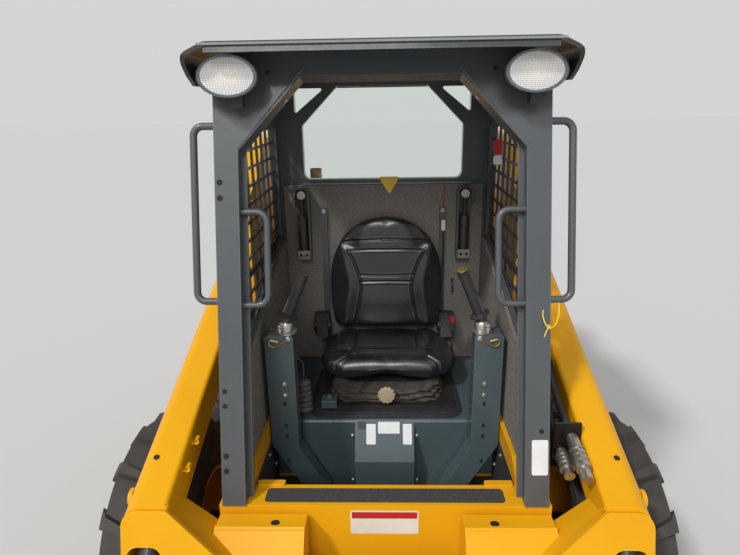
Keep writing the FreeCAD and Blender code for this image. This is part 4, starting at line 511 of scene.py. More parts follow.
FRONT, BACK = (0, -1, 0), (0, 1, 0)
head = bolt_head()
places = []
for side in (-1, 1):
    for height in (0.925, 0.885):
        places.append(facing(side * 0.320, -0.4802, height, FRONT, 0.9))
    places.append(facing(side * 0.111, -0.4002, 0.683, FRONT))
    places.append(facing(side * 0.234, 0.0895, 1.378, FRONT, 1.1))
    for y in (-0.62, -0.30, -0.02):
        places.append(facing(side * 0.3995, y, 0.80 + 0.1 * (y + 0.62), (-side, 0, 0)))
for x in (-0.24, -0.12, 0, 0.12, 0.24):
    places.append(facing(x, 0.0998, 0.79, FRONT, 0.9))
repeated("cab_bolts", head, places, zinc)
SEAL_BOLTS = ((-0.16, 1.853), (0, 1.853), (0.16, 1.853), (-0.262, 1.795), (0.262, 1.795))
behind_lintel = Matrix.Translation((0, 0.042, 0))
places = [behind_lintel @ on_post(x, height) @ Matrix.Scale(0.8, 4) for x, height in SEAL_BOLTS]
repeated("seal_bolts", head, places, zinc)

# Front lamps: an oval rim on a black bowl, with a finely ribbed lens whose colour is painted light: a pale
# painted glow, warmer in the middle, with painted shade on the rib crests. They stand in the place of the
# plain lamps, on the same brackets. Heights run forward from the lamp's back.
LAMP_X = 0.385
LAMP_OVAL = 0.667
RIBS = (("X", 1500.0), ("Z", 1350.0))
BOWL = ((0.026, 0.0), (0.050, 0.002), (0.066, 0.016), (0.0745, 0.040), (0.0750, 0.058))
RIM = ((0.0740, 0.054), (0.0775, 0.058), (0.0780, 0.070), (0.0774, 0.0780), (0.0764, 0.0793), (0.0756, 0.076))
LENS = ((0.0762, 0.070), (0.0757, 0.0752), (0.0620, 0.0765), (0.0400, 0.0780), (0.0180, 0.0787),
        (0.0040, 0.0789))
lamp_low, lamp_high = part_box("front_lamps")
lamp_z, lamp_front = lamp_high[2] - 0.052, lamp_low[1]
rim_pale = mottled("lamp_rim", (0.20, 0.215, 0.225), (0.12, 0.13, 0.14), 30, 0.30, metallic=0.5, bump=0.05)
lens, lens_shader, node = new_material("lamp_lens")
parts = node("SeparateXYZ", node("TexCoord").outputs["Object"]).outputs
waves = [node("Math", node("Math", parts[axis], count, operation="MULTIPLY"), operation="SINE")
         for axis, count in RIBS]
prism = node("Math", *waves, operation="MAXIMUM")
outward = node("Math", parts["X"], operation="ABSOLUTE")
spot = node("CombineXYZ", X=outward, Z=parts["Z"])
reach = node("VectorMath", spot, (LAMP_X, 0, lamp_z), operation="DISTANCE")
# Painted light: the lens colour is a pale painted glow, warmer towards the middle, with painted shade on the
# rib crests.
painted_glow_centre = node("MapRange", reach, From_Min=0.055, From_Max=0.008)
glow = node("Mix", data_type="RGBA", Factor=painted_glow_centre, A=(0.80, 0.81, 0.81, 1), B=(1.0, 0.95, 0.85, 1))
shade = node("MapRange", prism, From_Min=0.70, From_Max=1.0, To_Min=1.05, To_Max=0.42)
lit = node("VectorMath", glow, operation="SCALE", Scale=shade)
ribbed = node("Bump", Strength=0.5, Distance=0.0012, Height=prism)
feed(lens_shader, Base_Color=lit, Roughness=0.12, Coat_Weight=1.0, Normal=ribbed)
for name, profile, material in (("lamp_bowls", BOWL, plastic), ("lamp_rims", RIM, rim_pale),
                                ("lamp_lenses", LENS, lens)):
    shape = bmesh.new()
    for x in (-LAMP_X, LAMP_X):
        place = Matrix.Translation((x, lamp_front + 0.080, lamp_z)) @ Matrix.Rotation(math.pi / 2, 4, "X")
        add_turned(shape, place, profile, 64, LAMP_OVAL)
    if name == "lamp_bowls":
        for x in (-LAMP_X, LAMP_X):
            add_box(shape, (x - 0.006, lamp_front + 0.030, lamp_low[2]),
                    (x + 0.028, lamp_front + 0.060, lamp_z - 0.030))
            add_box(shape, (x - 0.022, lamp_front + 0.078, lamp_z - 0.028),
                    (x + 0.022, lamp_high[1], lamp_z + 0.018))
    piece = finish_piece(name, shape, material)
    if name == "lamp_bowls":
        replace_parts(piece, "front_lamps")

# Roof edge: a painted highlight for the sky's sheen along the front fold of the roof sheet. A thin pale strip
# on the brow's face.
sheen_and_sill_paint = painted("roof_sheen_and_sill", (0.27, 0.275, 0.275), (0.19, 0.195, 0.195), 0.38, dust=0.1)
roof_low, roof_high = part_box("cab_roof")
fold = made(add_box, ((-0.440, roof_low[1] - 0.0015, roof_high[2] - 0.009),
                      (0.440, roof_low[1] - 0.0002, roof_high[2] - 0.003)))
finish_piece("roof_front_edge", fold, sheen_and_sill_paint, 0.0005, 1)


# Weld beads: short overlapping blobs along the joints of the front frame, boom and step blocks, painted
# over with the steel that they join.
def weld_bead(name, runs, material, body, radius=0.0028):
    blob = bmesh.new()
    bmesh.ops.create_icosphere(blob, subdivisions=1, radius=radius)
    drop = link(bpy.data.objects.new(name + "_blob", to_mesh(blob, name + "_blob")))
    beads = []
    for start, end in runs:
        start, end = Vector(start), Vector(end)
        count = max(2, int((end - start).length / (radius * 1.25)))
        for step in range(count + 1):
            sway = 0.0004 * math.sin(step * 2.3)
            beads.append(Matrix.Translation(start.lerp(end, step / count) + Vector((0, 0, sway))))
    repeated(name, drop, beads, material, body)
    bpy.data.objects.remove(drop)


runs = [[on_post(side * x, height, 0.0005).translation for x, height in ((0.385, 1.672), (0.212, 1.868))]
        for side in (-1, 1)]
weld_bead("frame_welds", runs, grey, "chassis")
LEG_INNER = 0.549
runs = []
for side in (-1, 1):
    runs += [((side * LEG_INNER, -0.915, 0.815), (side * LEG_INNER, -0.812, 0.700)),
             ((side * 0.193, -0.990, 0.5745), (side * 0.330, -0.982, 0.612)),
             ((side * 0.214, -0.868, 0.7012), (side * 0.452, -0.868, 0.7012))]
weld_bead("boom_welds", runs, yellow, "boom")

# Seat: cushion and backrest in black vinyl over foam. Each starts as a closed form from its outline,
# is remeshed, blown up a little as cloth, and then gets its sewn channels and piped ridges.
VOXEL = 0.0058
LARGEST_MOVE = 0.004
CLOTH_FRAMES = 20
FORM_ROWS, FORM_SIDES = 40, 64
vinyl, vinyl_shader, node = new_material("vinyl")
place = node("TexCoord").outputs["Object"]
grain = node("TexVoronoi", place, Scale=620.0)
folds = node("TexNoise", place, Scale=19.0, Detail=4.0, Roughness=0.55)
tone = node("Mix", data_type="RGBA", Factor=folds, A=(0.0105, 0.0110, 0.0120, 1), B=(0.022, 0.023, 0.025, 1))
gloss = node("MapRange", folds, From_Min=0.3, From_Max=0.7, To_Min=0.27, To_Max=0.40)
soft = node("Bump", Strength=0.35, Distance=0.004, Height=folds)
fine = node("Bump", Strength=0.18, Distance=0.0005, Height=grain, Normal=soft)
feed(vinyl_shader, Base_Color=tone, Roughness=gloss, Coat_Weight=0.7, Coat_Roughness=0.20, Normal=fine)


def clamped(value):
    return min(1.0, max(0.0, value))


def bell(value, width, power=2):
    return math.exp(-(value / width) ** power)


def signed_power(value, power):
    return math.copysign(abs(value) ** power, value)


def curve_at(points, t):
    """The value at t on straight runs between (place, value) pairs, eased at the corners."""
    for (t0, v0), (t1, v1) in zip(points, points[1:]):
        if t <= t1:
            share = max(0.0, (t - t0) / (t1 - t0))
            return v0 + (v1 - v0) * share * share * (3 - 2 * share)
    return points[-1][1]


def near_line(points, x, y):
    """Distance from a point to a bent line in the plane."""
    best = 1.0
    for (x0, y0), (x1, y1) in zip(points, points[1:]):
        run_x, run_y = x1 - x0, y1 - y0
        share = clamped(((x - x0) * run_x + (y - y0) * run_y) / (run_x * run_x + run_y * run_y))
        best = min(best, math.hypot(x - x0 - share * run_x, y - y0 - share * run_y))
    return best


def seam_dip(seams, length, across, t):
    """How far a seam pulls a point in, or the roll beside it stands out."""
    away = min(near_line([(x, share * length) for x, share in line], across, t * length) for line in seams)
    return 0.0048 * bell(away, 0.0030) - 0.0012 * bell(away - 0.0075, 0.0030)


def form_ring(half, thick, squareness, at):
    """A flat ring of points from half its width and thickness, put in place by a function."""
    turns = [math.tau * i / FORM_SIDES for i in range(FORM_SIDES)]
    return [at(half * signed_power(math.cos(a), squareness), thick * signed_power(math.sin(a), 0.62))
            for a in turns]


def soft_form(name, rings, crown):
    """A closed form through rings of points: remeshed, shaped by crown(point, normal), blown up as cloth."""
    shape = made(add_loops, (rings,))
    bmesh.ops.recalc_face_normals(shape, faces=shape.faces)
    obj = link(bpy.data.objects.new(name, to_mesh(shape, name)))
    remesh = obj.modifiers.new("even", "REMESH")
    remesh.mode = "VOXEL"
    remesh.voxel_size = VOXEL
    obj.modifiers.new("ease", "SMOOTH").iterations = 4
    mesh = applied(obj)
    normals = [vertex.normal.copy() for vertex in mesh.vertices]
    for vertex, normal in zip(mesh.vertices, normals):
        vertex.co += crown(vertex.co, normal)
    mesh.update()
    before = [vertex.co.copy() for vertex in mesh.vertices]
    cloth = obj.modifiers.new("blown", "CLOTH")
    cloth.settings.quality = 4
    cloth.settings.mass = 0.4
    cloth.settings.tension_stiffness = cloth.settings.compression_stiffness = 30
    cloth.settings.bending_stiffness = 12
    cloth.settings.use_pressure = True
    cloth.settings.uniform_pressure_force = 4
    cloth.settings.effector_weights.gravity = 0
    cloth.point_cache.frame_start, cloth.point_cache.frame_end = 1, CLOTH_FRAMES
    for moment in range(1, CLOTH_FRAMES + 1):
        bpy.context.scene.frame_set(moment)
    mesh = applied(obj)
    bpy.context.scene.frame_set(1)
    for vertex, start in zip(mesh.vertices, before):
        move = vertex.co - start
        if move.length > LARGEST_MOVE:
            vertex.co = start + move * (LARGEST_MOVE / move.length)
    mesh.update()
    obj.modifiers.new("taut", "SMOOTH").iterations = 9
    applied(obj)
    finer = obj.modifiers.new("finer", "SUBSURF")
    finer.levels = finer.render_levels = 1
    applied(obj)
    return obj


def finish_cover(cover, stands_for):
    cover.data.shade_smooth()
    cover.data.materials.clear()
    cover.data.materials.append(vinyl)
    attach(cover, "chassis")
    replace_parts(cover, stands_for)


# Backrest: widest low down, a little narrower at its foot, with a domed top. Side bolsters stand forward
# of the middle, which two padded ridges cross below the head panel. Foam on a shell, in a sewn cover.
SEAT_X = 0.010
WIDEST = 0.36
back_low, back_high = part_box("seat_back")
back_tall = back_high[2] - back_low[2]
BACK_MID_Y = (back_low[1] + back_high[1]) / 2 + 0.003
BACK_SEAMS = [
    [(-0.185, 0.765), (-0.12, 0.785), (0, 0.795), (0.12, 0.785), (0.185, 0.765)],
    [(-0.150, 0.700), (-0.07, 0.706), (0, 0.708), (0.07, 0.706), (0.150, 0.700)],
    [(-0.110, 0.485), (0, 0.480), (0.110, 0.485)],
    [(-0.104, 0.425), (0, 0.432), (0.104, 0.425)],
    *([(side * x, t) for x, t in ((0.150, 0.700), (0.128, 0.62), (0.104, 0.47), (0.098, 0.38), (0.112, 0.2),
                                  (0.136, 0.0))] for side in (-1, 1)),
]


def back_half(t):
    """Half the backrest's width at a share of its height."""
    if t > WIDEST:
        return 0.0015 + 0.2285 * max(0.0, 1 - ((t - WIDEST) / (1 - WIDEST)) ** 2.4) ** 0.5
    foot = 0.030 * (1 - math.sqrt(1 - max(0.0, (0.06 - t) / 0.06) ** 2))
    return 0.230 * (1 - 0.09 * ((WIDEST - t) / WIDEST) ** 2.2) - foot


back_rings = []
for row in range(FORM_ROWS + 1):
    t = row / FORM_ROWS
    end = max(0.0, 1 - abs(2 * t - 1) ** (5 if t > 0.5 else 16)) ** 0.5
    height = back_low[2] - 0.003 + (back_tall - 0.002) * t
    back_rings.append(form_ring(back_half(t), 0.006 + 0.024 * end, 0.72,
                                lambda x, y: Vector((SEAT_X + x, BACK_MID_Y + y, height))))


def back_place(point):
    """How far across and what share of the way up a point on the backrest is."""
    return point.x - SEAT_X, (point.z - back_low[2]) / back_tall


def back_crown(point, normal):
    if normal.y > -0.1:
        return Vector((0, 0, 0))
    across, t = back_place(point)
    edge = curve_at(((0.0, 0.132), (0.42, 0.100), (0.70, 0.128), (0.80, 0.15), (1.0, 0.15)), t)
    bolster = bell(abs(across) - edge - 0.045, 0.030) * (1 if t < 0.74 else max(0, 1 - (t - 0.74) / 0.06))
    ridges = sum(bell(t - at, 0.020) for at in (0.455, 0.735))
    middle = bell(across, 0.10, 4)
    push = 0.011 * bolster + 0.005 * middle * bell(t - 0.24, 0.14) + 0.0045 * middle * ridges
    return Vector((0, -push * min(1.0, -normal.y * 1.5), 0))


back = soft_form("seat_back_cover", back_rings, back_crown)
back_normals = [vertex.normal.copy() for vertex in back.data.vertices]
for vertex, normal in zip(back.data.vertices, back_normals):
    if normal.y <= 0.25:
        vertex.co -= normal * seam_dip(BACK_SEAMS, back_tall, *back_place(vertex.co))
finish_cover(back, "seat_back")

# Cushion: a rounded block with a full front roll, two raised thigh bolsters and a flatter middle panel.
# Foam on a pan, in a sewn cover with piping along its lower edge.
seat_low, seat_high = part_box("seat_cushion")
seat_deep = seat_high[1] - seat_low[1]
SEAT_HALF = ((0.0, 0.188), (0.10, 0.236), (0.32, 0.254), (0.72, 0.250), (1.0, 0.212))
SEAT_MID_Z = (seat_low[2] + seat_high[2]) / 2 - 0.003
PIPING_Z = SEAT_MID_Z - 0.022
SEAT_SEAMS = [
    [(-0.226, 0.40), (-0.16, 0.315), (-0.08, 0.285), (0, 0.275), (0.08, 0.285), (0.16, 0.315), (0.226, 0.40)],
    *([(side * x, t) for x, t in line] for line in (((0.118, 0.300), (0.116, 0.5), (0.122, 1.0)),
                                                    ((0.205, 0.04), (0.15, 0.13), (0.118, 0.290)))
      for side in (-1, 1)),
]
seat_rings = []
for row in range(FORM_ROWS + 1):
    t = row / FORM_ROWS
    end = max(0.0, 1 - abs(2 * t - 1) ** (4 if t < 0.5 else 14)) ** 0.5
    place_y = seat_low[1] + 0.005 + (seat_deep - 0.010) * t
    seat_rings.append(form_ring(curve_at(SEAT_HALF, t) * (0.90 + 0.10 * end), 0.008 + 0.037 * end, 0.55,
                                lambda x, z: Vector((SEAT_X + x, place_y, SEAT_MID_Z + z))))


def seat_place(point):
    return point.x - SEAT_X, (point.y - seat_low[1]) / seat_deep


def seat_crown(point, normal):
    if normal.z < 0.1:
        return Vector((0, 0, 0))
    across, t = seat_place(point)
    bolster = bell(abs(across) - 0.168, 0.040) * clamped((t - 0.30) / 0.12)
    middle = bell(across, 0.09, 4) * clamped((t - 0.30) / 0.1)
    push = 0.007 * bolster + 0.006 * bell(t - 0.14, 0.12) + 0.0015 * middle
    return Vector((0, 0, push * min(1.0, normal.z * 1.4)))


cushion = soft_form("seat_cushion_cover", seat_rings, seat_crown)
seat_normals = [vertex.normal.copy() for vertex in cushion.data.vertices]
for vertex, normal in zip(cushion.data.vertices, seat_normals):
    across, t = seat_place(vertex.co)
    if normal.z > 0.05:
        vertex.co -= normal * seam_dip(SEAT_SEAMS, seat_deep, across, t)
    elif t < 0.30:
        wave = 0.020 * bell(across, 0.07) - 0.009 * bell(abs(across) - 0.145, 0.055)
        vertex.co.z += wave * (1 - t / 0.30) * min(1.0, 0.4 - normal.z)
    if abs(normal.z) < 0.8:
        vertex.co += normal * (0.0022 * bell(abs(vertex.co.z - PIPING_Z), 0.0030))
finish_cover(cushion, "seat_cushion")

# Under the seat: a black ribbed tray with round corners on the seat box, a wrinkled boot round the
# suspension, a tan adjusting knob in front and a small grey-green valve block on the tray.
TRAY = ((0, 0.7452), (0, 0.7500), (0.008, 0.7540), (0.014, 0.7500), (0.020, 0.7500), (0.026, 0.7545),
        (0.034, 0.7545), (0.040, 0.7490), (0.052, 0.7470))
KNOB_X, KNOB_Z = 0.008, 0.797
tray_loops = [[Vector((x, y, level)) for x, y in rounded(-0.262 + inset, 0.272 - inset, -0.388 + inset,
                                                         -0.005 - inset, 0.058 - inset * 0.8)]
              for inset, level in TRAY]
finish_piece("seat_tray", made(add_loops, (tray_loops,)), plastic)
boot_cloth = mottled("boot_cloth", (0.085, 0.072, 0.060), (0.036, 0.031, 0.027), 40, 0.75, bump=0.6,
                     grain=240, depth=0.0015)
boot_rows = []
for row in range(25):
    t = row / 24
    loop = []
    for i in range(120):
        a = math.tau * i / 120
        across, deep = signed_power(math.cos(a), 0.55), signed_power(math.sin(a), 0.55)
        slack = 0.5 * (1 - abs(across))
        fold = 0.010 * math.sin(t * math.pi * 4.5 + 2.2 * slack + 0.6 * math.sin(3 * a)) * (1 - 0.5 * t)
        fold += 0.004 * math.sin(t * 17 + a * 9) + 0.003 * math.sin(a * 23 + t * 5)
        sag = 0.010 * slack * (1 - t) + 0.003 * math.sin(7 * a + 4 * t)
        loop.append(Vector((0.010 + across * (0.200 + fold - 0.012 * t),
                            -0.150 + deep * (0.152 + fold - 0.010 * t),
                            0.7535 + 0.044 * t - sag * (1 - t) * t * 2)))
    boot_rows.append(loop)
finish_piece("seat_boot", made(add_loops, (boot_rows,)), boot_cloth, smooth_angle=80)
tan = mottled("tan_knob", (0.47, 0.37, 0.24), (0.40, 0.31, 0.20), 80, 0.5, bump=0.2)


def knob_ring(radius, depth):
    """A ring with twelve lobes."""
    ring = []
    for i in range(72):
        a = math.tau * i / 72
        reach = radius + 0.0016 * math.sin(12 * a)
        ring.append(Vector((KNOB_X + reach * math.cos(a), -0.3125 - depth, KNOB_Z + reach * math.sin(a))))
    return ring


knob_rows = [knob_ring(*row) for row in ((0.020, 0.0), (0.029, 0.002), (0.0315, 0.010), (0.027, 0.017),
                                         (0.010, 0.019))]
finish_piece("seat_knob", made(add_loops, (knob_rows,)), tan)
stem = made(add_turned, (facing(KNOB_X, -0.296, KNOB_Z, FRONT), ((0.009, 0), (0.009, 0.0170)), 20))
finish_piece("seat_knob_stem", stem, plastic)
valve = made(add_box, ((-0.222, -0.340, 0.7546), (-0.168, -0.288, 0.782)))
add_turned(valve, Matrix.Translation((-0.195, -0.314, 0.782)), ((0.012, 0), (0.012, 0.010), (0.008, 0.014)),
           18)
finish_piece("tray_block", valve, teal, 0.002)


# Rear wall of the cab: grey belt rails, black reels with their belt ends, the buckle on its stalk, a red
# wire with its white plug and tail, and a bent wire hook for a coat.
def smooth_path(points, steps=8):
    """A flowing line through points."""
    points = [Vector(point) for point in points]
    points = [points[0] * 2 - points[1]] + points + [points[-1] * 2 - points[-2]]
    path = []
    for p0, p1, p2, p3 in zip(points, points[1:], points[2:], points[3:]):
        for step in range(steps):
            t = step / steps
            path.append(0.5 * ((2 * p1) + (p2 - p0) * t + (2 * p0 - 5 * p1 + 4 * p2 - p3) * t * t
                               + (3 * p1 - p0 - 3 * p2 + p3) * t ** 3))
    return path + [points[-2]]


def add_tube(mesh_data, path, radius, sides=12, swell=None):
    """A tube along a line, with an optional swelling for each share of its length."""
    path = [Vector(point) for point in path]
    last = len(path) - 1
    side_way = None
    loops = []
    for i, point in enumerate(path):
        ahead_way = (path[min(i + 1, last)] - path[max(i - 1, 0)]).normalized()
        if side_way is None:
            side_way = ahead_way.orthogonal().normalized()
        side_way = (side_way - ahead_way * side_way.dot(ahead_way)).normalized()
        up_way = ahead_way.cross(side_way)
        size = radius * (swell(i / last) if swell else 1)
        turns = [math.tau * k / sides for k in range(sides)]
        loops.append([point + size * (math.cos(a) * side_way + math.sin(a) * up_way) for a in turns])
    add_loops(mesh_data, loops)


def tube_piece(name, points, radius, material, sides=8):
    finish_piece(name, made(add_tube, (smooth_path(points), radius, sides)), material)


REEL_X = 0.255
WEB_CORNERS = ((-0.022, -0.0008), (0.022, -0.0008), (0.022, 0.0008), (-0.022, 0.0008))
rails = made(add_box, *(((x - 0.012, 0.0885, 0.965), (x + 0.012, 0.0992, 1.392)) for x in (-0.234, 0.234)))
finish_piece("belt_rails", rails, grey, 0.002)
reels, web = bmesh.new(), bmesh.new()
for side in (-1, 1):
    x = side * REEL_X
    add_box(reels, (x - 0.032, 0.058, 0.868), (x + 0.032, 0.0995, 0.958))
    add_turned(reels, facing(x, 0.070, 0.905, (-side, 0, 0)), ((0.022, -0.036), (0.022, 0.036)), 24)
    flow = smooth_path([(x, 0.0575, 0.95), (x, 0.040, 0.935), (x - side * 0.004, 0.020, 0.912),
                        (x - side * 0.008, 0.000, 0.880)], 6)
    add_loops(web, [[point + Vector((dx, dy, 0)) for dx, dy in WEB_CORNERS] for point in flow])
finish_piece("belt_reels", reels, plastic, 0.004, 3)
belt = made(add_box, ((0.262, -0.012, 0.905), (0.284, 0.004, 0.965)),
            ((0.268, -0.008, 0.800), (0.278, 0.000, 0.906)))
finish_piece("buckle_body", belt, plastic, 0.003, 3)
button = made(add_box, ((0.265, -0.0135, 0.948), (0.281, 0.002, 0.9685)))
finish_piece("buckle_button", button, signal_red, 0.0015)
foot = made(add_box, ((0.262, -0.020, 0.7548), (0.284, 0.012, 0.800)))
finish_piece("buckle_foot", foot, black, 0.002)
webbing = mottled("belt_web", (0.026, 0.026, 0.028), (0.05, 0.05, 0.052), 90, 0.8, bump=0.8, grain=700,
                  depth=0.0008)
finish_piece("belt_ends", web, webbing)
red_wire = mottled("red_wire", (0.50, 0.02, 0.015), (0.40, 0.015, 0.012), 60, 0.45, bump=0.1)
tube_piece("cab_wire", [(0.240, 0.0960, 1.470), (0.236, 0.0955, 1.40), (0.233, 0.0860, 1.385),
                        (0.236, 0.0845, 1.340)], 0.0022, red_wire)
plug = made(add_box, ((0.229, 0.0790, 1.300), (0.244, 0.0880, 1.342)))
finish_piece("wire_plug", plug, white, 0.0015)
tube_piece("wire_tail", [(0.236, 0.0845, 1.302), (0.238, 0.0835, 1.20), (0.236, 0.0840, 1.05),
                         (0.243, 0.070, 0.955)], 0.0030, plastic)
tube_piece("coat_hook", [(0.278, 0.0990, 1.095), (0.278, 0.088, 1.092), (0.278, 0.078, 1.076),
                         (0.278, 0.072, 1.056), (0.278, 0.078, 1.044)], 0.004, black, 10)

# Tags: a pale sill under the rear window with a yellow three-cornered tag before it, a red and white key
# tag on the left screen and a yellow cable tie round the foot of the left handle. All are blank.
sill = made(add_box, ((-0.318, 0.0955, 1.4835), (0.342, 0.1098, 1.4895)))
finish_piece("window_sill", sill, sheen_and_sill_paint, 0.0012)
tag_yellow = mottled("tag_yellow", (0.86, 0.60, 0.05), (0.76, 0.50, 0.04), 40, 0.4, bump=0.08)
TAG = [(-0.012, 1.512), (0.060, 1.512), (0.058, 1.500), (0.030, 1.450), (0.022, 1.450), (-0.010, 1.500)]
finish_piece("sill_tag", made(add_plate, (TAG, facing_front(0.0950), 0.0012)), tag_yellow)
tag = made(add_plate, (rounded(0.366, 0.395, 1.610, 1.665, 0.008), facing_front(-0.195), 0.002))
finish_piece("key_tag", tag, signal_red)
tag = made(add_plate, (rounded(0.3665, 0.3945, 1.583, 1.613, 0.007), facing_front(-0.1965), 0.0015))
finish_piece("key_label", tag, white)
TIE_LOOP = ((0.468, 1.262), (0.446, 1.262), (0.428, 1.240), (0.434, 1.212), (0.453, 1.212), (0.470, 1.236),
            (0.474, 1.262))
tie = made(add_tube, (smooth_path([(x, -0.652 - 0.9 * (1.262 - z), z) for x, z in TIE_LOOP]), 0.0017, 8),
           (smooth_path([(0.440, -0.697, 1.210), (0.432, -0.704, 1.199), (0.426, -0.708, 1.186)]), 0.0016, 8))
add_box(tie, (0.434, -0.702, 1.206), (0.443, -0.694, 1.215))
finish_piece("handle_tie", tie, tag_yellow)

# Footwell: near-black sheets over its walls and floor, which make them dark, and grey-green ledges beside
# the seat box that close the side wells at the box's height. A pleated boot stands on the right ledge round a
# control rod.
SIDE_DARK_SHEETS = (((0.3765, -0.700, 0.5215), (0.3778, -0.3995, 0.716)),
             ((0.284, -0.702, 0.5202), (0.3765, -0.402, 0.5215)),
             ((0.2788, -0.702, 0.4215), (0.2798, -0.402, 0.5200)),
             ((0.3765, -0.398, 0.5215), (0.3778, 0.092, 0.716)))
SIDE_LEDGES = (((0.2835, -0.398, 0.7400), (0.3760, 0.094, 0.7430)),
               ((0.2835, -0.398, 0.5300), (0.3760, -0.395, 0.7400)))
ROD_FOOT = (-0.284, -0.335)


def both_sides(boxes):
    """Boxes on the left, and the same on the right."""
    for side in (-1, 1):
        for low, high in boxes:
            x0, x1 = sorted((side * low[0], side * high[0]))
            yield (x0, *low[1:]), (x1, *high[1:])


# Near-black, mottled sheets that make the footwell's walls and floor dark.
dark_sheet = mottled("footwell_dark_sheet", (0.020, 0.020, 0.021), (0.040, 0.038, 0.036), 70, 0.80, bump=0.6, grain=500,
              depth=0.0012)
dark_sheets = made(add_box, *both_sides(SIDE_DARK_SHEETS), ((-0.2785, -0.702, 0.4202), (0.2785, -0.465, 0.4215)))
finish_piece("footwell_mats", dark_sheets, dark_sheet)
finish_piece("seat_ledges", made(add_box, *both_sides(SIDE_LEDGES)), teal, 0.001, 1)
pleats = mottled("rod_boot", (0.15, 0.13, 0.115), (0.09, 0.08, 0.07), 60, 0.75, bump=0.5, grain=260)
profile = [((0.032 if row % 2 else 0.021) - 0.0004 * row, 0.010 * row) for row in range(13)]
shape = made(add_turned, (Matrix.Translation((*ROD_FOOT, 0.7455)), profile, 28))
finish_piece("rod_boot", shape, pleats, smooth_angle=20)
tube_piece("control_rod", [(-0.302, -0.412, 1.060), (-0.292, -0.385, 0.98), (-0.278, -0.350, 0.935),
                           (*ROD_FOOT, 0.860)], 0.0035, zinc)
wall_bolts = [facing(side * 0.3763, y, z, (-side, 0, 0)) for side in (-1, 1)
              for y, z in ((-0.62, 0.58), (-0.44, 0.60), (-0.52, 0.69))]
wall_bolts += [facing(side * 0.111, -0.4375, 0.532, (0, -1, 0.1), 0.8) for side in (-1, 1)]
repeated("footwell_bolts", head, wall_bolts, zinc)

# Console: three blank white stickers and a dark switch plate, flat on its raked sheet face, 0.3 mm off
# the paint.
console_face = (Matrix.Translation((0, -0.460, 0.620)) @ Matrix.Rotation(math.atan2(0.125, 0.062), 4, "X")
                @ Matrix.Translation((0, 0, 0.0003)))
STICKERS = ((-0.022, 0.052, 0.094, 0.133), (-0.062, -0.030, 0.058, 0.126), (0.063, 0.093, 0.058, 0.126))
stickers = made(add_plate, *((rounded(*row, 0.003), console_face, 0.0005) for row in STICKERS))
finish_piece("console_stickers", stickers, white)
switch = made(add_plate, (rounded(-0.091, -0.064, 0.108, 0.134, 0.002), console_face, 0.0008))
finish_piece("console_switch", switch, plastic)

# Control levers: grey bars with black ribbed grips and flanges, steel clamps at the foot, a bent wire
# latch on each tower, a brass button on the left grip and a row of holes down each tower, each a dark disc of
# painted shade.
TOWER_FACE = -0.48
LEVER_Y = -0.450
CLAMP_X, LATCH_X = 0.308, 0.330
GRIP_FOOT, GRIP_TOP = (0.3005, 1.150), (0.243, 1.289)
LATCH = ((-0.030, -0.4835, 1.082), (-0.010, -0.4850, 1.070), (0.012, -0.4860, 1.058), (0.028, -0.4850, 1.066),
         (0.024, -0.4840, 1.080), (0, -0.4835, 1.074))
finish_nodes(["control_levers"], grey)
brass = mottled("brass", (0.62, 0.42, 0.14), (0.48, 0.31, 0.09), 30, 0.35, metallic=0.9, bump=0.1)


def grip_swell(t):
    """Fifteen ribs, and a wider collar at each end."""
    return 1.0 + 0.018 * math.sin(t * math.tau * 15) + (0.10 if t < 0.04 or t > 0.95 else 0)


grips, clamps, latches = bmesh.new(), bmesh.new(), bmesh.new()
for side in (-1, 1):
    foot_end, top_end = (Vector((side * x, LEVER_Y, z)) for x, z in (GRIP_FOOT, GRIP_TOP))
    add_tube(grips, [foot_end.lerp(top_end, step / 60) for step in range(61)], 0.0175, 20, grip_swell)
    add_turned(grips, facing(*foot_end, (top_end - foot_end).normalized()),
               ((0.020, -0.004), (0.031, -0.002), (0.031, 0.003), (0.021, 0.009)), 28)
    add_turned(clamps, Matrix.Translation((side * CLAMP_X, LEVER_Y, 1.0955)),
               ((0.034, 0), (0.034, 0.005), (0.024, 0.007), (0.0225, 0.030), (0.0175, 0.036)), 24)
    for height in (1.108, 1.120):
        add_turned(clamps, facing(side * (CLAMP_X + 0.018), -0.4700, height, FRONT),
                   ((0.0062, -0.012), (0.0062, 0.003), (0.004, 0.004)), 12)
    add_tube(latches, smooth_path([(side * (LATCH_X + x), y, z) for x, y, z in LATCH]), 0.0026, 8)
    add_turned(clamps, facing(side * (LATCH_X - 0.030), TOWER_FACE - 0.0002, 1.082, FRONT),
               ((0.010, 0), (0.010, 0.004), (0.006, 0.006)), 16)
finish_piece("lever_grips", grips, plastic, smooth_angle=50)
finish_piece("lever_clamps", clamps, zinc)
finish_piece("tower_latches", latches, brass)
button = made(add_turned, (facing(GRIP_TOP[0], LEVER_Y, GRIP_TOP[1], (-0.38, 0, 0.92)),
                           ((0.012, 0.001), (0.0165, 0.003), (0.0165, 0.009), (0.010, 0.013)), 20))
finish_piece("grip_button", button, brass)
# Dark discs of painted shade for the tower holes.
slots = bmesh.new()
for x in (-0.322, 0.322):
    for height in (0.855, 0.775, 0.735, 0.640):
        add_turned(slots, facing(x, TOWER_FACE - 0.0001, height, FRONT), ((0.0055, 0), (0.0055, 0.0006)), 16,
                   1.45)
finish_piece("tower_holes", slots, dark_hole)


# Belt brackets on the rear posts: a folded grey strap with a rounded head round a black gas strut, and a
# bright plate with two screws at the foot.
def add_strap(mesh_data, path, y0, y1, thickness):
    """A folded strap along a line in the XZ plane."""
    last = len(path) - 1
    loops = []
    for i, (x, z) in enumerate(path):
        before, after = path[max(i - 1, 0)], path[min(i + 1, last)]
        run = Vector((after[0] - before[0], after[1] - before[1])).normalized()
        out_x, out_z = x - run.y * thickness, z + run.x * thickness
        loops.append([Vector((x, y0, z)), Vector((out_x, y0, out_z)), Vector((out_x, y1, out_z)),
                      Vector((x, y1, z))])
    add_loops(mesh_data, loops)


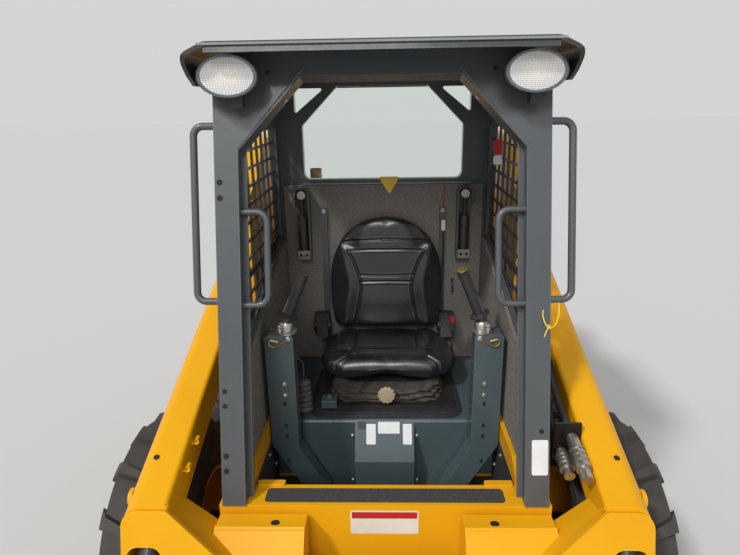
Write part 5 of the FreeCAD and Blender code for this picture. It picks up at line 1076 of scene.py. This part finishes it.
STRAP_IN, STRAP_OUT, STRAP_BACK = 0.2865, 0.3445, 0.0995
STRUT_X, STRUT_Y = 0.317, 0.076
FOLD_Z, FOLD = 1.452, 0.024
arc = [(STRAP_OUT, 1.400), (STRAP_OUT, FOLD_Z)]
for centre, first, steps in ((STRAP_OUT - FOLD, 0, range(1, 9)), (STRAP_IN + FOLD, math.pi / 2, range(9))):
    for step in steps:
        angle = first + math.pi / 2 * step / 8
        arc.append((centre + FOLD * math.cos(angle), FOLD_Z + FOLD * math.sin(angle)))
arc += [(STRAP_IN, 1.40), (STRAP_IN, 1.30), (STRAP_IN, 1.195)]
straps, shafts, feet = bmesh.new(), bmesh.new(), bmesh.new()
for side in (-1, 1):
    add_strap(straps, [(side * x, z) for x, z in arc], 0.0545, STRAP_BACK, 0.004 * side)
    low_x, high_x = sorted((side * STRAP_IN, side * STRAP_OUT))
    add_box(straps, (low_x, STRAP_BACK - 0.002, 1.195), (high_x, STRAP_BACK, 1.46))
    add_turned(shafts, Matrix.Translation((side * STRUT_X, STRUT_Y, 1.212)),
               ((0.0185, 0), (0.0185, 0.150), (0.016, 0.154)), 24)
    add_turned(shafts, Matrix.Translation((side * STRUT_X, STRUT_Y, 1.362)), ((0.008, 0), (0.008, 0.085)), 16)
    add_turned(feet, facing(side * STRUT_X, 0.064, 1.448, BACK), ((0.017, 0), (0.017, 0.024)), 20)
    add_box(feet, (side * 0.316 - 0.024, 0.0560, 1.193), (side * 0.316 + 0.024, 0.0590, 1.228))
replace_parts(finish_piece("belt_straps", straps, grey, 0.0008, 1), "cab_struts")
finish_piece("strut_shafts", shafts, plastic)
finish_piece("strut_feet", feet, zinc, 0.001, 1)
screws = [facing(x + dx, 0.0560, 1.210, FRONT, 0.62) for x in (-0.316, 0.316) for dx in (-0.011, 0.011)]
repeated("strut_screws", head, screws, dark_hole)

# Boom: round holes in the top of both arms and bigger ones in the step blocks, each a dark disc of painted
# shade; two curled hose hooks inside the right arm, and the hoses of the quick couplers, which run into the
# left arm.
ARM_SLOPE = math.atan(0.38)
on_slope = Matrix.Rotation(ARM_SLOPE, 4, "X")
# Dark discs of painted shade for the holes.
spots = bmesh.new()
for side in (-1, 1):
    add_turned(spots, Matrix.Translation((side * 0.622, -0.785, 0.8680)) @ on_slope,
               ((0.008, 0), (0.008, 0.0006)), 20)
    add_turned(spots, Matrix.Translation((side * 0.296, -0.840, 0.7001)),
               ((0.0125, 0), (0.0125, 0.0005)), 24, 0.85)
finish_piece("arm_holes", spots, dark_hole, body="boom")
HOOK = ((-0.5505, 0), (-0.536, -0.003), (-0.529, 0.001), (-0.5275, 0.008), (-0.5300, 0.015), (-0.537, 0.017))
hooks = made(add_strap, *(([(x, z + rise) for x, rise in HOOK], y - 0.009, y + 0.009, 0.003)
                          for y, z in ((-0.705, 0.862), (-0.790, 0.832))))
finish_piece("hose_hooks", hooks, yellow, body="boom")
HOSES = (((0.526, -0.672, 0.885), (0.526, -0.60, 0.905), (0.528, -0.50, 0.938), (0.541, -0.41, 0.962),
          (0.553, -0.37, 0.972)),
         ((0.502, -0.672, 0.843), (0.503, -0.60, 0.860), (0.512, -0.49, 0.905), (0.536, -0.39, 0.938),
          (0.553, -0.35, 0.952)))
hose_black = mottled("hose_rubber", (0.022, 0.021, 0.020), (0.045, 0.042, 0.038), 60, 0.65, bump=0.6,
                     grain=600)
hoses = made(add_tube, *((smooth_path(path, 10), 0.0105, 14) for path in HOSES))
finish_piece("coupler_hoses", hoses, hose_black, body="boom")

# Liner edges: a dark pressed-on seal of round section along the lower edge of each side liner. Extruded
# rubber, pushed on the sheet's edge.
seals = made(add_tube, *(([(x, -0.700, 0.7480), (x, 0.095, 0.7480)], 0.0055, 10) for x in (-0.3895, 0.3895)))
finish_piece("liner_seals", seals, plastic)

# Rear door: a black paddle latch in its dish at the free edge, level with the grille's middle. Moulded
# plastic, set on the door's outer sheet.
door_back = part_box("rear_door")[1][1]
dish = rounded(0.330, 0.392, 0.735, 0.835, 0.010)
latch = made(add_plate, (dish, facing_front(door_back + 0.0014), 0.0012))
add_box(latch, (0.338, door_back + 0.001, 0.752), (0.384, door_back + 0.0035, 0.800))
finish_piece("door_latch", latch, plastic, 0.0005, 1, body="rear_door")

bpy.data.objects.remove(head)
